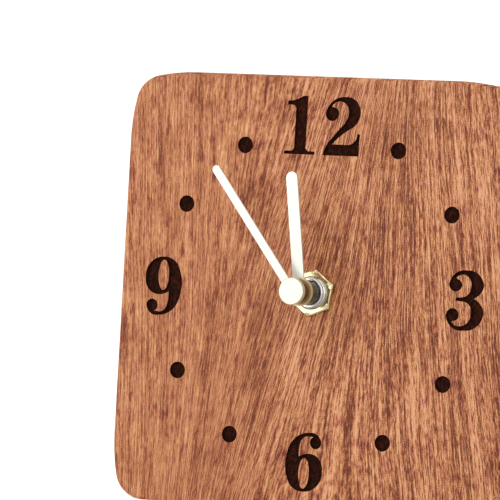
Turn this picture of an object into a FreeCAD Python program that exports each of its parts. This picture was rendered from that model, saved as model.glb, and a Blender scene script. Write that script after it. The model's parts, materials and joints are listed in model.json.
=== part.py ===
import FreeCAD, Part
import Sketcher
import math
import os
import re

# A wooden desk clock: a thick wooden slab that leans back on a flat foot, with burnt
# numerals and dots, two plain hands and a battery movement in a recess behind.
# Every piece is drawn in the dial's own frame: across to the viewer's right, up along
# the face, out towards the viewer, and zero at the dial centre on the face of the wood.
# The clock stands on the ground plane, faces -Y, and its origin is under its middle.

Vector = FreeCAD.Vector

SIZES = {
    # wooden body
    "lean_angle": 7.6,
    "slab_width": 109.4,
    "slab_rise": 55.6,
    "slab_foot": 55.5,
    "foot_trim": 0.8,
    "slab_thickness": 36.0,
    "corner_radius": 7.6,
    "blend_radius": 52.0,
    "blend_angle": 12.2,
    "edge_round": 1.1,
    "dial_wall": 6.0,
    "recess_gap": 2.0,
    "recess_corner": 4.0,
    "recess_chamfer": 0.6,
    "shaft_gap": 0.3,
    "burn_depth": 0.8,
    # dots and numerals
    "dot_ring": 43.0,
    "dot_radius": 2.15,
    "hour_angle": 30.0,
    "numeral_height": 15.1,
    "twelve_up": 42.9,
    "one_across": 6.2,
    "two_across": 5.5,
    "three_across": 42.3,
    "six_down": 43.25,
    "nine_across": 42.65,
    # running and standing gaps
    "running_gap": 0.05,
    "loose_gap": 0.07,
    "seat_gap": 0.03,
    "level_gap": 0.4,
    "overrun": 1.0,
    # bush, nut and gasket
    "bush_end": 3.2,
    "thread_radius": 4.0,
    "thread_depth": 0.36,
    "thread_step": 0.75,
    "thread_start": 1.2,
    "mouth_wall": 0.7,
    "mouth_gap": 0.15,
    "bush_mouth_depth": 2.0,
    "spigot_wall": 0.58,
    "nut_wall": 1.5,
    "nut_thickness": 1.5,
    "nut_turn": 8.0,
    "nut_countersink": 0.3,
    "gasket_radius": 10.0,
    "gasket_thickness": 1.0,
    # movement case, as large as the cell, the bridge and the coil need
    "case_corner": 3.0,
    "case_wall": 1.2,
    "bay_floor_gap": 0.3,
    "bay_top_gap": 0.8,
    "cell_sunk": 0.2,
    "lip_height": 1.2,
    "lip_thickness": 1.0,
    "lip_gap": 0.1,
    "pivot_depth": 0.8,
    "leg_radius": 1.2,
    "post_radius": 1.6,
    "board_post_radius": 1.0,
    # arbors
    "pipe_wall": 0.75,
    "clutch_step": 0.25,
    "collar_step": 0.4,
    "collar_length": 0.75,
    "shank_step": 0.3,
    "pivot_radius": 0.6,
    "fine_pivot": 0.4,
    "spring_width": 0.5,
    "spring_thickness": 0.2,
    "knob_shaft_radius": 1.5,
    # wheels, whose tooth size is the diameter that each tooth adds
    "hour_tooth_size": 0.384,
    "motion_tooth_size": 0.4,
    "centre_tooth_size": 0.25,
    "third_tooth_size": 0.22,
    "seconds_tooth_size": 0.2,
    "hour_wheel_thickness": 0.8,
    "minute_wheel_thickness": 1.0,
    "centre_wheel_thickness": 0.7,
    "fine_wheel_thickness": 0.6,
    "third_bearing": 150.0,
    "seconds_bearing": 100.0,
    "intermediate_bearing": 20.0,
    "rotor_bearing": -5.0,
    # rotor, stator and coil
    "magnet_radius": 3.0,
    "magnet_length": 2.0,
    "magnet_drop": 0.7,
    "magnet_gap": 0.5,
    "stator_rim": 1.3,
    "stator_thickness": 0.8,
    "arm_width": 3.2,
    "core_gap": 0.6,
    "core_rise": 8.58,
    "core_thickness": 1.0,
    "coil_gap": 0.8,
    "bobbin_gap": 0.7,
    "bobbin_radius": 3.7,
    "bobbin_tube": 2.1,
    "bobbin_flange": 0.8,
    "winding_margin": 0.4,
    "screw_radius": 0.8,
    "screw_head_radius": 1.4,
    "screw_head_height": 0.8,
    "screw_slot": 0.4,
    "screw_length": 5.5,
    # bridge
    "bridge_thickness": 1.0,
    "bridge_clear": 0.6,
    "bridge_left": -16.0,
    "bridge_right": 15.4,
    "bridge_drop": 9.6,
    "bridge_gap": 0.4,
    "bridge_high": 16.6,
    "bridge_top": 24.4,
    "tongue_left": -7.4,
    "tongue_right": 0.8,
    "shoulder_up": 18.8,
    "leg_inset": 1.4,
    "leg_side_up": 10.2,
    # circuit board
    "board_gap": 0.5,
    "board_clear": 0.6,
    "board_lift": 1.0,
    "board_top_gap": 2.8,
    "board_thickness": 0.8,
    "board_post_length": 6.8,
    "board_post_inset": 2.3,
    "board_post_lift": 4.0,
    "board_post_drop": 3.0,
    "crystal_radius": 1.0,
    "crystal_length": 6.0,
    "crystal_lift": 15.0,
    "crystal_edge": 0.2,
    "chip_radius": 2.8,
    "chip_height": 1.2,
    "chip_lift": 9.0,
    # battery and contacts
    "cell_radius": 7.25,
    "cell_length": 50.5,
    "cell_label_thickness": 0.25,
    "cell_label_margin": 0.9,
    "cell_edge": 0.6,
    "nub_radius": 2.75,
    "nub_height": 1.0,
    "contact_gap": 0.05,
    "contact_reach": 1.1,
    "contact_thickness": 0.4,
    "contact_pad_radius": 3.0,
    "contact_half_height": 5.0,
    "contact_half_width": 4.5,
    "contact_strip_width": 1.4,
    "contact_fold": 1.8,
    "strip_thickness": 0.3,
    "strip_offset": 0.05,
    # setting knob
    "knob_radius": 6.5,
    "knob_height": 4.0,
    "knob_gap": 0.4,
    "knob_dish": 0.8,
    "knob_rim": 1.3,
    "knob_edge": 0.5,
    "flute_radius": 0.55,
    "shaft_joint": 0.4,
    # hands
    "hour_level": 8.3,
    "hour_thickness": 0.6,
    "hub_step": 0.5,
    "hour_rim": 0.45,
    "hour_rim_step": 0.15,
    "hour_length": 30.8,
    "hour_width": 3.1,
    "hour_turn": 7.6,
    "collet_wall": 0.57,
    "minute_level": 12.9,
    "minute_thickness": 0.5,
    "minute_hub": 3.5,
    "minute_length": 39.0,
    "minute_width": 2.15,
    "minute_turn": 37.4,
    "minute_collet_wall": 0.62,
    "cap_margin": 0.05,
    "cap_height": 0.55,
    "cap_edge": 0.2,
    "cap_socket": 0.25,
}

# Teeth of the wheels and pinions
TEETH = {
    "hour_wheel_teeth": 40,
    "minute_pinion_teeth": 10,
    "minute_wheel_teeth": 36,
    "cannon_pinion_teeth": 12,
    "centre_wheel_teeth": 64,
    "third_pinion_teeth": 8,
    "third_wheel_teeth": 60,
    "seconds_pinion_teeth": 8,
    "seconds_wheel_teeth": 60,
    "intermediate_pinion_teeth": 12,
    "intermediate_wheel_teeth": 60,
    "rotor_pinion_teeth": 10,
}

# A tooth's height in tooth sizes and its half width at root and tip in tooth steps
TIP_SHARE = 0.85
ROOT_SHARE = 1.2
ROOT_HALF_SHARE = 0.28
TIP_HALF_SHARE = 0.1

KNOB_FLUTES = 24
DOT_QUARTERS = 4

# What counts as the same level and as a cut that misses
LEVEL_ERROR = 1e-4
LEAST_CUT = 1e-3

HALF_TURN = 180
WHOLE_TURN = 360

# The numbers of a sketch line's or arc's start and end and of its centre
START_INDEX = 1
END_INDEX = 2
MIDDLE_INDEX = 3

# Numeral outlines in shares of the numeral height, from the numeral's middle. Two
# numbers are the end of a straight edge, four are an arc's middle and its end.
ONE_SHARES = (
    (-0.285, -0.498), (0.285, -0.498), (0.285, -0.444), (0.172, -0.440),
    (0.129, -0.417, 0.113, -0.358), (0.116, 0.497), (0.030, 0.497),
    (-0.065, 0.447, -0.166, 0.414), (-0.255, 0.407), (-0.255, 0.344),
    (-0.172, 0.341), (-0.122, 0.318, -0.103, 0.258), (-0.103, -0.358),
    (-0.122, -0.420, -0.179, -0.440), (-0.285, -0.444), (-0.285, -0.498),
)
TWO_SHARES = (
    (-0.338, -0.498), (0.328, -0.498), (0.331, -0.121), (0.281, -0.121),
    (0.238, -0.248, 0.119, -0.309), (-0.175, -0.309), (0.000, -0.144, 0.166, -0.034),
    (0.281, 0.073, 0.328, 0.225), (0.252, 0.424, 0.040, 0.502),
    (-0.209, 0.417, -0.321, 0.225), (-0.199, 0.086, -0.076, 0.219),
    (-0.106, 0.291, -0.175, 0.321), (-0.209, 0.331), (-0.152, 0.397, -0.060, 0.423),
    (0.060, 0.368, 0.106, 0.232), (0.073, 0.109, 0.000, 0.009),
    (-0.103, -0.103, -0.199, -0.223), (-0.295, -0.354, -0.338, -0.498),
)
THREE_SHARES = (
    (-0.315, 0.278), (-0.195, 0.460, 0.000, 0.507), (0.235, 0.430, 0.321, 0.265),
    (0.275, 0.136, 0.172, 0.053), (0.162, 0.030), (0.288, -0.076, 0.338, -0.219),
    (0.238, -0.417, -0.020, -0.505), (-0.262, -0.434, -0.348, -0.265),
    (-0.232, -0.136, -0.109, -0.238), (-0.139, -0.321, -0.219, -0.348),
    (-0.238, -0.368), (-0.179, -0.417, -0.086, -0.434), (0.056, -0.361, 0.103, -0.219),
    (0.063, -0.073, -0.046, -0.020), (-0.159, -0.010), (-0.185, 0.017, -0.159, 0.041),
    (-0.053, 0.056), (0.050, 0.119, 0.086, 0.225), (0.050, 0.374, -0.053, 0.434),
    (-0.132, 0.417, -0.192, 0.374), (-0.152, 0.348), (-0.093, 0.308, -0.076, 0.245),
    (-0.195, 0.146, -0.315, 0.278),
)
SIX_SHARES = (
    (0.301, 0.334), (0.232, 0.460, 0.066, 0.500), (-0.162, 0.424, -0.318, 0.182),
    (-0.351, -0.070, -0.265, -0.368), (-0.152, -0.467, 0.026, -0.500),
    (0.258, -0.397, 0.341, -0.132), (0.275, 0.063, 0.073, 0.146),
    (-0.020, 0.132, -0.103, 0.093), (-0.106, 0.212, -0.079, 0.334),
    (-0.026, 0.414, 0.060, 0.440), (0.146, 0.430), (0.096, 0.384, 0.089, 0.325),
    (0.195, 0.228, 0.301, 0.334),
)
SIX_EYE_SHARES = (0.001, -0.189, 0.258, 0.097)

doc = FreeCAD.newDocument("DeskClock")
sheet = doc.addObject("Spreadsheet::Sheet", "Sizes")
for row, (alias, amount) in enumerate(SIZES.items(), start=1):
    sheet.set("A%d" % row, alias)
    sheet.set("B%d" % row, str(amount))
    sheet.setAlias("B%d" % row, alias)
doc.recompute()

pieces = {}


def bind(formula):
    """Spell a formula of named sizes the way the document reads it."""
    return re.sub(r"[a-z_]+", lambda word: "Sizes." + word.group()
                  if word.group() in SIZES else word.group(), formula)


def cell(formula):
    """The value of a formula of named sizes."""
    return float(sheet.evalExpression(bind(formula)))


def less(first, second):
    return "(%s) - (%s)" % (first, second)


def plus(first, second):
    return "(%s) + (%s)" % (first, second)


def arc_between(start, end, radius, side):
    """The short arc from start to end that bulges to the right (1) or left (-1) of
    its chord, as a sketch arc, and which of its ends the start is."""
    middle = (start + end) * 0.5
    half = (end - start) * 0.5
    rise = math.sqrt(max(radius ** 2 - half.Length ** 2, 0))
    normal = Vector(-half.y, half.x, 0).normalize()
    centre = middle + normal * rise * side
    circle = Part.Circle(centre, Vector(0, 0, 1), radius)
    first = math.atan2(start.y - centre.y, start.x - centre.x)
    last = math.atan2(end.y - centre.y, end.x - centre.x)
    if side > 0:
        return Part.ArcOfCircle(circle, first, last), START_INDEX
    return Part.ArcOfCircle(circle, last, first), END_INDEX


def outline(body, plane, corners, lift="0", holes=()):
    """Sketch a closed outline on one of the body's origin planes. A corner is a pair
    of formulas, and (across, up, radius, side) where the edge that leaves it is an
    arc. A hole is (across, up, radius)."""
    sketch = body.newObject("Sketcher::SketchObject", body.Name + "_sketch")
    origin = [item for item in body.Origin.OriginFeatures if item.Role == plane]
    sketch.AttachmentSupport = [(origin[0], "")]
    sketch.MapMode = "FlatFace"
    sketch.setExpression("AttachmentOffset.Base.z", bind(lift))
    points = [Vector(cell(item[0]), cell(item[1]), 0) for item in corners]
    starts = []
    for index, item in enumerate(corners):
        here = points[index]
        there = points[(index + 1) % len(points)]
        if len(item) == 2:
            sketch.addGeometry(Part.LineSegment(here, there), False)
            starts.append(START_INDEX)
        else:
            arc, start = arc_between(here, there, cell(item[2]), item[3])
            sketch.addGeometry(arc, False)
            starts.append(start)
    for index, item in enumerate(corners):
        before = (index - 1) % len(corners)
        end = END_INDEX if starts[before] == START_INDEX else START_INDEX
        sketch.addConstraint(Sketcher.Constraint("Coincident", before, end, index, starts[index]))
        pin(sketch, index, starts[index], item[0], item[1])
        if len(item) > 2:
            fix(sketch, Sketcher.Constraint("Radius", index, cell(item[2])), item[2])
    for across, up, radius in holes:
        centre = Vector(cell(across), cell(up), 0)
        number = sketch.addGeometry(Part.Circle(centre, Vector(0, 0, 1), cell(radius)), False)
        pin(sketch, number, MIDDLE_INDEX, across, up)
        fix(sketch, Sketcher.Constraint("Radius", number, cell(radius)), radius)
    return sketch


def fix(sketch, constraint, formula):
    """Add a constraint whose value follows a formula."""
    number = sketch.addConstraint(constraint)
    sketch.setExpression("Constraints[%d]" % number, bind(formula))


def pin(sketch, number, end, across, up):
    """Hold one point of a sketch at its place."""
    fix(sketch, Sketcher.Constraint("DistanceX", number, end, cell(across)), across)
    fix(sketch, Sketcher.Constraint("DistanceY", number, end, cell(up)), up)


def plate(label, corners, low, high, holes=()):
    """A flat piece: an outline with round holes, padded from one level to another."""
    body = doc.addObject("PartDesign::Body", label)
    pad = body.newObject("PartDesign::Pad", label + "_pad")
    pad.Profile = outline(body, "XY_Plane", corners, low, holes)
    pad.setExpression("Length", bind(less(high, low)))
    body.Tip = pad
    doc.recompute()
    return body


def turned(label, corners):
    """A turned piece: its half section (radius, level) swept round the upright axis."""
    body = doc.addObject("PartDesign::Body", label)
    sketch = outline(body, "XZ_Plane", corners)
    solid = body.newObject("PartDesign::Revolution", label + "_turning")
    solid.Profile = sketch
    solid.ReferenceAxis = (sketch, ["V_Axis"])
    solid.Angle = WHOLE_TURN
    body.Tip = solid
    doc.recompute()
    return body


def carve(body, kind, sketch, length=None, reverse=False):
    """Cut a sketch into a body, and stop if that takes nothing away."""
    before = body.Shape.Volume
    tool = body.newObject("PartDesign::" + kind, body.Name + "_cut")
    tool.Profile = sketch
    if kind == "Groove":
        tool.ReferenceAxis = (sketch, ["V_Axis"])
        tool.Angle = WHOLE_TURN
    elif length is None:
        tool.Type = "ThroughAll"
        tool.Midplane = True
    else:
        tool.setExpression("Length", bind(length))
    tool.Reversed = reverse
    body.Tip = tool
    doc.recompute()
    if before - body.Shape.Volume < LEAST_CUT:
        raise RuntimeError("the cut misses " + body.Name)
    return tool


def soften(body, kind, edges, amount, names):
    """Round or chamfer the edges of a body's last feature that a test picks."""
    tip = body.Tip
    chosen = ["Edge%d" % (number + 1) for number, edge in enumerate(tip.Shape.Edges)
              if edges(edge)]
    tool = body.newObject("PartDesign::" + kind, body.Name + "_" + names)
    tool.Base = (tip, chosen)
    tool.setExpression("Radius" if kind == "Fillet" else "Size", bind(amount))
    body.Tip = tool
    doc.recompute()
    return tool


def at_level(level, reach=None):
    """Pick the edges that lie at one level, within a reach of the middle."""
    height = cell(level)
    limit = math.inf if reach is None else cell(reach)

    def test(edge):
        box = edge.BoundBox
        flat = max(abs(box.ZMin - height), abs(box.ZMax - height)) < LEVEL_ERROR
        return flat and max(abs(box.XMin), abs(box.XMax)) < limit
    return test


def rectangle(left, right, low, high, radius=None):
    """Corners of a rectangle, rounded where a radius is given."""
    if radius is None:
        return [(left, low), (right, low), (right, high), (left, high)]
    return [
        (plus(left, radius), low), (less(right, radius), low, radius, 1),
        (right, plus(low, radius)), (right, less(high, radius), radius, 1),
        (less(right, radius), high), (plus(left, radius), high, radius, 1),
        (left, less(high, radius)), (left, plus(low, radius), radius, 1),
    ]


def rod(radius, low, high, across="0", up="0"):
    """A round bar along the hands' axis."""
    solid = doc.addObject("Part::Cylinder", "rod")
    solid.setExpression("Radius", bind(radius))
    solid.setExpression("Height", bind(less(high, low)))
    move(solid, across, up, low)
    return solid


def block(left, right, low, high, back, front):
    """A straight block between six faces."""
    solid = doc.addObject("Part::Box", "block")
    solid.setExpression("Length", bind(less(right, left)))
    solid.setExpression("Width", bind(less(high, low)))
    solid.setExpression("Height", bind(less(front, back)))
    move(solid, left, low, back)
    return solid


def cross_rod(radius, left, right, up, level):
    """A round bar that lies across the dial."""
    solid = doc.addObject("Part::Cylinder", "cross_rod")
    solid.setExpression("Radius", bind(radius))
    solid.setExpression("Height", bind(less(right, left)))
    solid.setExpression("Placement", bind(lying(left, up, level, "across")))
    return solid


def move(solid, across, up, level):
    solid.setExpression("Placement.Base.x", bind(across))
    solid.setExpression("Placement.Base.y", bind(up))
    solid.setExpression("Placement.Base.z", bind(level))


def fuse(*solids):
    joined = doc.addObject("Part::MultiFuse", "joined")
    joined.Shapes = list(solids)
    return joined


def cut(base, *tools):
    left = doc.addObject("Part::Cut", "cut")
    left.Base = base
    left.Tool = tools[0] if len(tools) == 1 else fuse(*tools)
    return left


def gear(name, tooth_size, low, high, across, up, bearing):
    """A toothed disc with one tooth, or for a pinion one gap, facing a bearing."""
    teeth = TEETH[name + "_teeth"]
    size = cell(tooth_size)
    radius = size * teeth / 2
    step = 2 * math.pi / teeth
    phase = math.radians(bearing)
    if "pinion" in name:
        phase += step / 2
    points = []
    for number in range(teeth):
        middle = phase + number * step
        for reach, share in ((radius - ROOT_SHARE * size, -ROOT_HALF_SHARE),
                             (radius + TIP_SHARE * size, -TIP_HALF_SHARE),
                             (radius + TIP_SHARE * size, TIP_HALF_SHARE),
                             (radius - ROOT_SHARE * size, ROOT_HALF_SHARE)):
            angle = middle + share * step
            points.append(Vector(reach * math.cos(angle), reach * math.sin(angle), 0))
    face = Part.Face(Part.makePolygon(points + points[:1]))
    solid = doc.addObject("Part::Feature", name)
    solid.Shape = face.extrude(Vector(0, 0, cell(less(high, low))))
    solid.Placement.Base = Vector(cell(across), cell(up), cell(low))
    return solid


def spun(turn):
    """A turn about the hands' axis, as the document writes a placement."""
    return "placement(vector(0; 0; 0); rotation(vector(0; 0; 1); %s))" % turn


def lying(across, up, level, axis):
    """The place of a piece drawn upright that lies along another axis."""
    turns = {"across": "rotation(vector(0; 1; 0); 90)", "up": "rotation(vector(1; 0; 0); -90)",
             "out": "rotation(vector(0; 0; 1); 0)"}
    return "placement(vector(%s; %s; %s); %s)" % (across, up, level, turns[axis])


def keep(label, solid, place=None):
    """Name a finished piece and set it in the clock."""
    solid.Label = label
    whole = FRAME if place is None else FRAME + " * " + place
    solid.setExpression("Placement", bind(whole))
    pieces[label] = solid


# Radii that fit inside each other, from the bush's thread inwards
BUSH_MOUTH = "(thread_radius - mouth_wall)"
COLLET_RADIUS = "(%s - mouth_gap)" % BUSH_MOUTH
PIPE_RADIUS = "(%s - collet_wall - seat_gap)" % COLLET_RADIUS
PIPE_BORE = "(%s - pipe_wall)" % PIPE_RADIUS
ARBOR_RADIUS = "(%s - running_gap)" % PIPE_BORE
CLUTCH_RADIUS = "(%s - clutch_step)" % ARBOR_RADIUS
SHANK_RADIUS = "(%s - shank_step)" % CLUTCH_RADIUS
BUSH_BORE = "(%s + loose_gap)" % PIPE_RADIUS
SPIGOT_RADIUS = "(%s + spigot_wall)" % BUSH_BORE
HOUR_HUB = "(%s + hub_step)" % COLLET_RADIUS
MINUTE_BORE = "(%s + seat_gap)" % ARBOR_RADIUS
MINUTE_COLLET_RADIUS = "(%s + minute_collet_wall)" % MINUTE_BORE
CAP_RADIUS = "(minute_hub - cap_margin)"
NUT_HALF = "(thread_radius + nut_wall)"
SLAB_DROP = "(slab_foot + foot_trim)"

# The dial stands in front of the middle of the whole clock's depth by half of the
# difference between how far the rear top edge and the minute hand's cap reach.
CAP_FRONT = "minute_level + minute_thickness + cap_height"
REAR_REACH = ("(slab_rise - edge_round) * sin(lean_angle) + "
              "(slab_thickness - edge_round) * cos(lean_angle) + edge_round")
FRONT_REACH = ("(%s - cap_edge) * cos(lean_angle) + (%s - cap_edge) * sin(lean_angle)"
               " + cap_edge" % (CAP_FRONT, CAP_RADIUS))
DIAL_BACK = "((%s) - (%s)) / 2" % (FRONT_REACH, REAR_REACH)
FRAME = ("placement(vector(0; %s; slab_foot * cos(lean_angle)); "
         "rotation(vector(1; 0; 0); 90 - lean_angle))" % DIAL_BACK)

# Levels of the movement, from the dial wall back
CASE_FRONT = "-(dial_wall + gasket_thickness)"
CASE_FLOOR = CASE_FRONT + " - case_wall"
CASE_BACK = CASE_FLOOR + " - bay_floor_gap - 2 * cell_radius - cell_sunk"
COVER_INSIDE = CASE_BACK + " + case_wall"
HOUR_TOP = CASE_FLOOR + " - level_gap"
HOUR_LOW = HOUR_TOP + " - hour_wheel_thickness"
MINUTE_TOP = HOUR_LOW + " - level_gap"
MINUTE_LOW = MINUTE_TOP + " - minute_wheel_thickness"
CENTRE_TOP = MINUTE_LOW + " - level_gap"
CENTRE_LOW = CENTRE_TOP + " - centre_wheel_thickness"
THIRD_TOP = CENTRE_LOW + " - level_gap"
THIRD_LOW = THIRD_TOP + " - fine_wheel_thickness"
SECONDS_TOP = THIRD_LOW + " - level_gap"
SECONDS_LOW = SECONDS_TOP + " - fine_wheel_thickness"
INTERMEDIATE_TOP = SECONDS_LOW + " - level_gap"
INTERMEDIATE_LOW = INTERMEDIATE_TOP + " - fine_wheel_thickness"
MAGNET_TOP = INTERMEDIATE_LOW + " - magnet_drop"
MAGNET_LOW = MAGNET_TOP + " - magnet_length"
STATOR_TOP = MAGNET_TOP + " - (magnet_length - stator_thickness) / 2"
STATOR_LOW = STATOR_TOP + " - stator_thickness"
BRIDGE_TOP = MAGNET_LOW + " - bridge_clear"
BRIDGE_LOW = BRIDGE_TOP + " - bridge_thickness"
PIVOT_TOP = CASE_FLOOR + " + pivot_depth - seat_gap"
PIVOT_LOW = BRIDGE_LOW
HALF_STEP = "level_gap / 2"

def beyond(place, tooth_size, first, second, bearing):
    """Where an arbor stands whose wheel meshes with one on another arbor, worked out
    from the teeth and the tooth size of the two."""
    teeth = TEETH[first + "_teeth"] + TEETH[second + "_teeth"]
    distance = "%s * %d / 2" % (tooth_size, teeth)
    return (plus(place[0], "%s * cos(%s)" % (distance, bearing)),
            plus(place[1], "%s * sin(%s)" % (distance, bearing)))


CENTRE = ("0", "0")
MINUTE = beyond(CENTRE, "motion_tooth_size", "cannon_pinion", "minute_wheel", "0")
THIRD = beyond(CENTRE, "centre_tooth_size", "centre_wheel", "third_pinion", "third_bearing")
SECONDS = beyond(THIRD, "third_tooth_size", "third_wheel", "seconds_pinion",
                 "seconds_bearing")
INTERMEDIATE = beyond(SECONDS, "seconds_tooth_size", "seconds_wheel", "intermediate_pinion",
                      "intermediate_bearing")
ROTOR = beyond(INTERMEDIATE, "seconds_tooth_size", "intermediate_wheel", "rotor_pinion",
               "rotor_bearing")
LEGS = (("bridge_left + leg_inset", "leg_inset - bridge_drop"),
        ("bridge_right - leg_inset", "leg_inset - bridge_drop"),
        ("bridge_right - leg_inset", "leg_side_up"),
        ("(tongue_left + tongue_right) / 2", "bridge_top - leg_inset"))

# The cell, and the case that is sized by it, by the bridge and by the coil
CELL_LEVEL = CASE_FLOOR + " - bay_floor_gap - cell_radius"
CELL_LEFT = "-(cell_length / 2)"
CELL_RIGHT = "cell_length / 2"
INNER_HALF = "(cell_length / 2 + contact_gap + contact_reach + contact_thickness)"
CASE_HALF = "(%s + case_wall)" % INNER_HALF
PARTITION_UP = "(-bridge_drop - bridge_gap)"
PARTITION_LOW = "(%s - case_wall)" % PARTITION_UP
CELL_UP = "(%s - bay_top_gap - cell_radius)" % PARTITION_LOW
INNER_LOW = "(%s - cell_radius - bay_floor_gap)" % CELL_UP
CASE_LOW = "(%s - case_wall)" % INNER_LOW
CORE_LEVEL = STATOR_TOP + " + core_thickness / 2"
CORE_TOP = STATOR_TOP + " + core_thickness"
CORE_LEFT = "(%s - arm_width / 2)" % ROTOR[0]
CORE_RIGHT = "(%s - core_gap)" % INNER_HALF
CORE_UP = "(%s + core_rise)" % ROTOR[1]
CORE_SCREWS = (CORE_LEFT + " + arm_width / 2", CORE_RIGHT + " - arm_width / 2")
INNER_HIGH = "(%s + bobbin_radius + coil_gap)" % CORE_UP
CASE_HIGH = "(%s + case_wall)" % INNER_HIGH
BOARD_LEFT = "(board_gap - %s)" % INNER_HALF
BOARD_RIGHT = "(bridge_left - board_clear)"
BOARD_MIDDLE = "(%s + %s) / 2" % (BOARD_LEFT, BOARD_RIGHT)
BOARD_LOW = "(%s + board_lift)" % PARTITION_UP
BOARD_HIGH = "(%s - board_top_gap)" % INNER_HIGH
BOARD_LEVEL = "(%s - board_post_length)" % CASE_FLOOR


def numeral(shares, across, up, turn=0):
    """The cutter of one numeral, from its outline in shares of the height."""
    height = cell("numeral_height")
    here = Vector(shares[0][0], shares[0][1], 0) * height
    edges = []
    for item in shares[1:]:
        there = Vector(item[-2], item[-1], 0) * height
        if len(item) == 2:
            edges.append(Part.LineSegment(here, there).toShape())
        else:
            middle = Vector(item[0], item[1], 0) * height
            edges.append(Part.Arc(here, middle, there).toShape())
        here = there
    face = Part.Face(Part.Wire(edges))
    if shares is SIX_SHARES:
        across_share, up_share, tall_share, wide_share = SIX_EYE_SHARES
        centre = Vector(across_share, up_share, 0) * height
        eye = Part.Ellipse(centre + Vector(0, tall_share, 0) * height,
                           centre + Vector(wide_share, 0, 0) * height, centre)
        face = face.cut(Part.Face(Part.Wire(eye.toShape()))).Faces[0]
    deep = cell("burn_depth")
    proud = cell("overrun")
    face.rotate(Vector(0, 0, 0), Vector(0, 0, 1), turn)
    face.translate(Vector(cell(across), cell(up), -deep))
    return face.extrude(Vector(0, 0, deep + proud))


def wood_body():
    half = "slab_width / 2"
    run = "blend_radius * sin(blend_angle)"
    fall = "blend_radius * (1 - cos(blend_angle))"
    span = plus(plus(run, fall), "corner_radius * (cos(blend_angle) - sin(blend_angle))")
    rest = less(span, run)
    corners = []
    # from the foot's right end round the slab, three arcs to a corner
    low = "-" + SLAB_DROP
    for side, top in ((1, low), (1, "slab_rise"), (-1, "slab_rise"), (-1, low)):
        edge = half if side > 0 else "-" + half
        inward = less if side > 0 else plus
        level = less if top == "slab_rise" else plus
        places = [(inward(edge, span), top), (inward(edge, rest), level(top, fall)),
                  (inward(edge, fall), level(top, rest)), (edge, level(top, span))]
        if (side > 0) == (top == "slab_rise"):
            places.reverse()
        for place, radius in zip(places, ("blend_radius", "corner_radius", "blend_radius")):
            corners.append(place + (radius, 1))
        corners.append(places[-1])
    body = plate("wood_blank", corners, "-slab_thickness", "0")
    soften(body, "Fillet", at_level("0"), "edge_round", "front_round")
    soften(body, "Fillet", at_level("-slab_thickness"), "edge_round", "rear_round")
    slope = "tan(lean_angle)"
    foot = [
        ("-slab_foot - overrun * " + slope, "overrun"),
        (low + " - overrun", "overrun"),
        (low + " - overrun", "-slab_thickness - overrun"),
        ("-slab_foot + (slab_thickness + overrun) * " + slope, "-slab_thickness - overrun"),
    ]
    carve(body, "Pocket", outline(body, "YZ_Plane", foot))
    wide = CASE_HALF + " + recess_gap"
    recess = rectangle("-(%s)" % wide, wide, CASE_LOW + " - recess_gap",
                       CASE_HIGH + " + recess_gap", "recess_corner")
    carve(body, "Pocket", outline(body, "XY_Plane", recess, "-slab_thickness"),
          "slab_thickness - dial_wall", True)
    soften(body, "Chamfer", at_level("-slab_thickness", wide + " + edge_round"),
           "recess_chamfer", "mouth")
    dots = [("dot_ring * sin(%d * hour_angle)" % hour, "dot_ring * cos(%d * hour_angle)" % hour,
             "dot_radius") for hour in (1, 2)]
    first = carve(body, "Pocket", outline(body, "XY_Plane", [], "0", dots), "burn_depth")
    around = body.newObject("PartDesign::PolarPattern", "dots")
    around.Originals = [first]
    around.Axis = (first.Profile[0], ["N_Axis"])
    around.Occurrences = DOT_QUARTERS
    around.Angle = WHOLE_TURN
    body.Tip = around
    doc.recompute()
    shaft = [("0", "0", "thread_radius + shaft_gap")]
    carve(body, "Pocket", outline(body, "XY_Plane", [], "0", shaft), "dial_wall + overrun")
    numerals = doc.addObject("Part::Feature", "numerals")
    numerals.Shape = Part.makeCompound([
        numeral(ONE_SHARES, "-one_across", "twelve_up"),
        numeral(TWO_SHARES, "two_across", "twelve_up"),
        numeral(THREE_SHARES, "three_across", "0"),
        numeral(SIX_SHARES, "0", "-six_down"),
        numeral(SIX_SHARES, "-nine_across", "0", 180),
    ])
    keep("wood_body", cut(body, numerals))


def threaded_bush():
    mouth = "bush_end - bush_mouth_depth"
    corners = [(BUSH_BORE, CASE_FLOOR), (SPIGOT_RADIUS, CASE_FLOOR), (SPIGOT_RADIUS, CASE_FRONT),
               ("thread_radius", CASE_FRONT)]
    start = CASE_FRONT + " + thread_start"
    length = cell(less("bush_end - thread_depth", start))
    rings = int(length / cell("thread_step"))
    for ring in range(rings):
        base = "%s + %d * thread_step" % (start, ring)
        corners.append(("thread_radius", base))
        corners.append(("thread_radius - thread_depth", base + " + thread_step / 2"))
    corners += [("thread_radius", "%s + %d * thread_step" % (start, rings)),
                ("thread_radius", "bush_end - thread_depth"),
                ("thread_radius - thread_depth", "bush_end"), (BUSH_MOUTH, "bush_end"),
                (BUSH_MOUTH, mouth), (BUSH_BORE, mouth)]
    keep("threaded_bush", turned("bush", corners))


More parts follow.
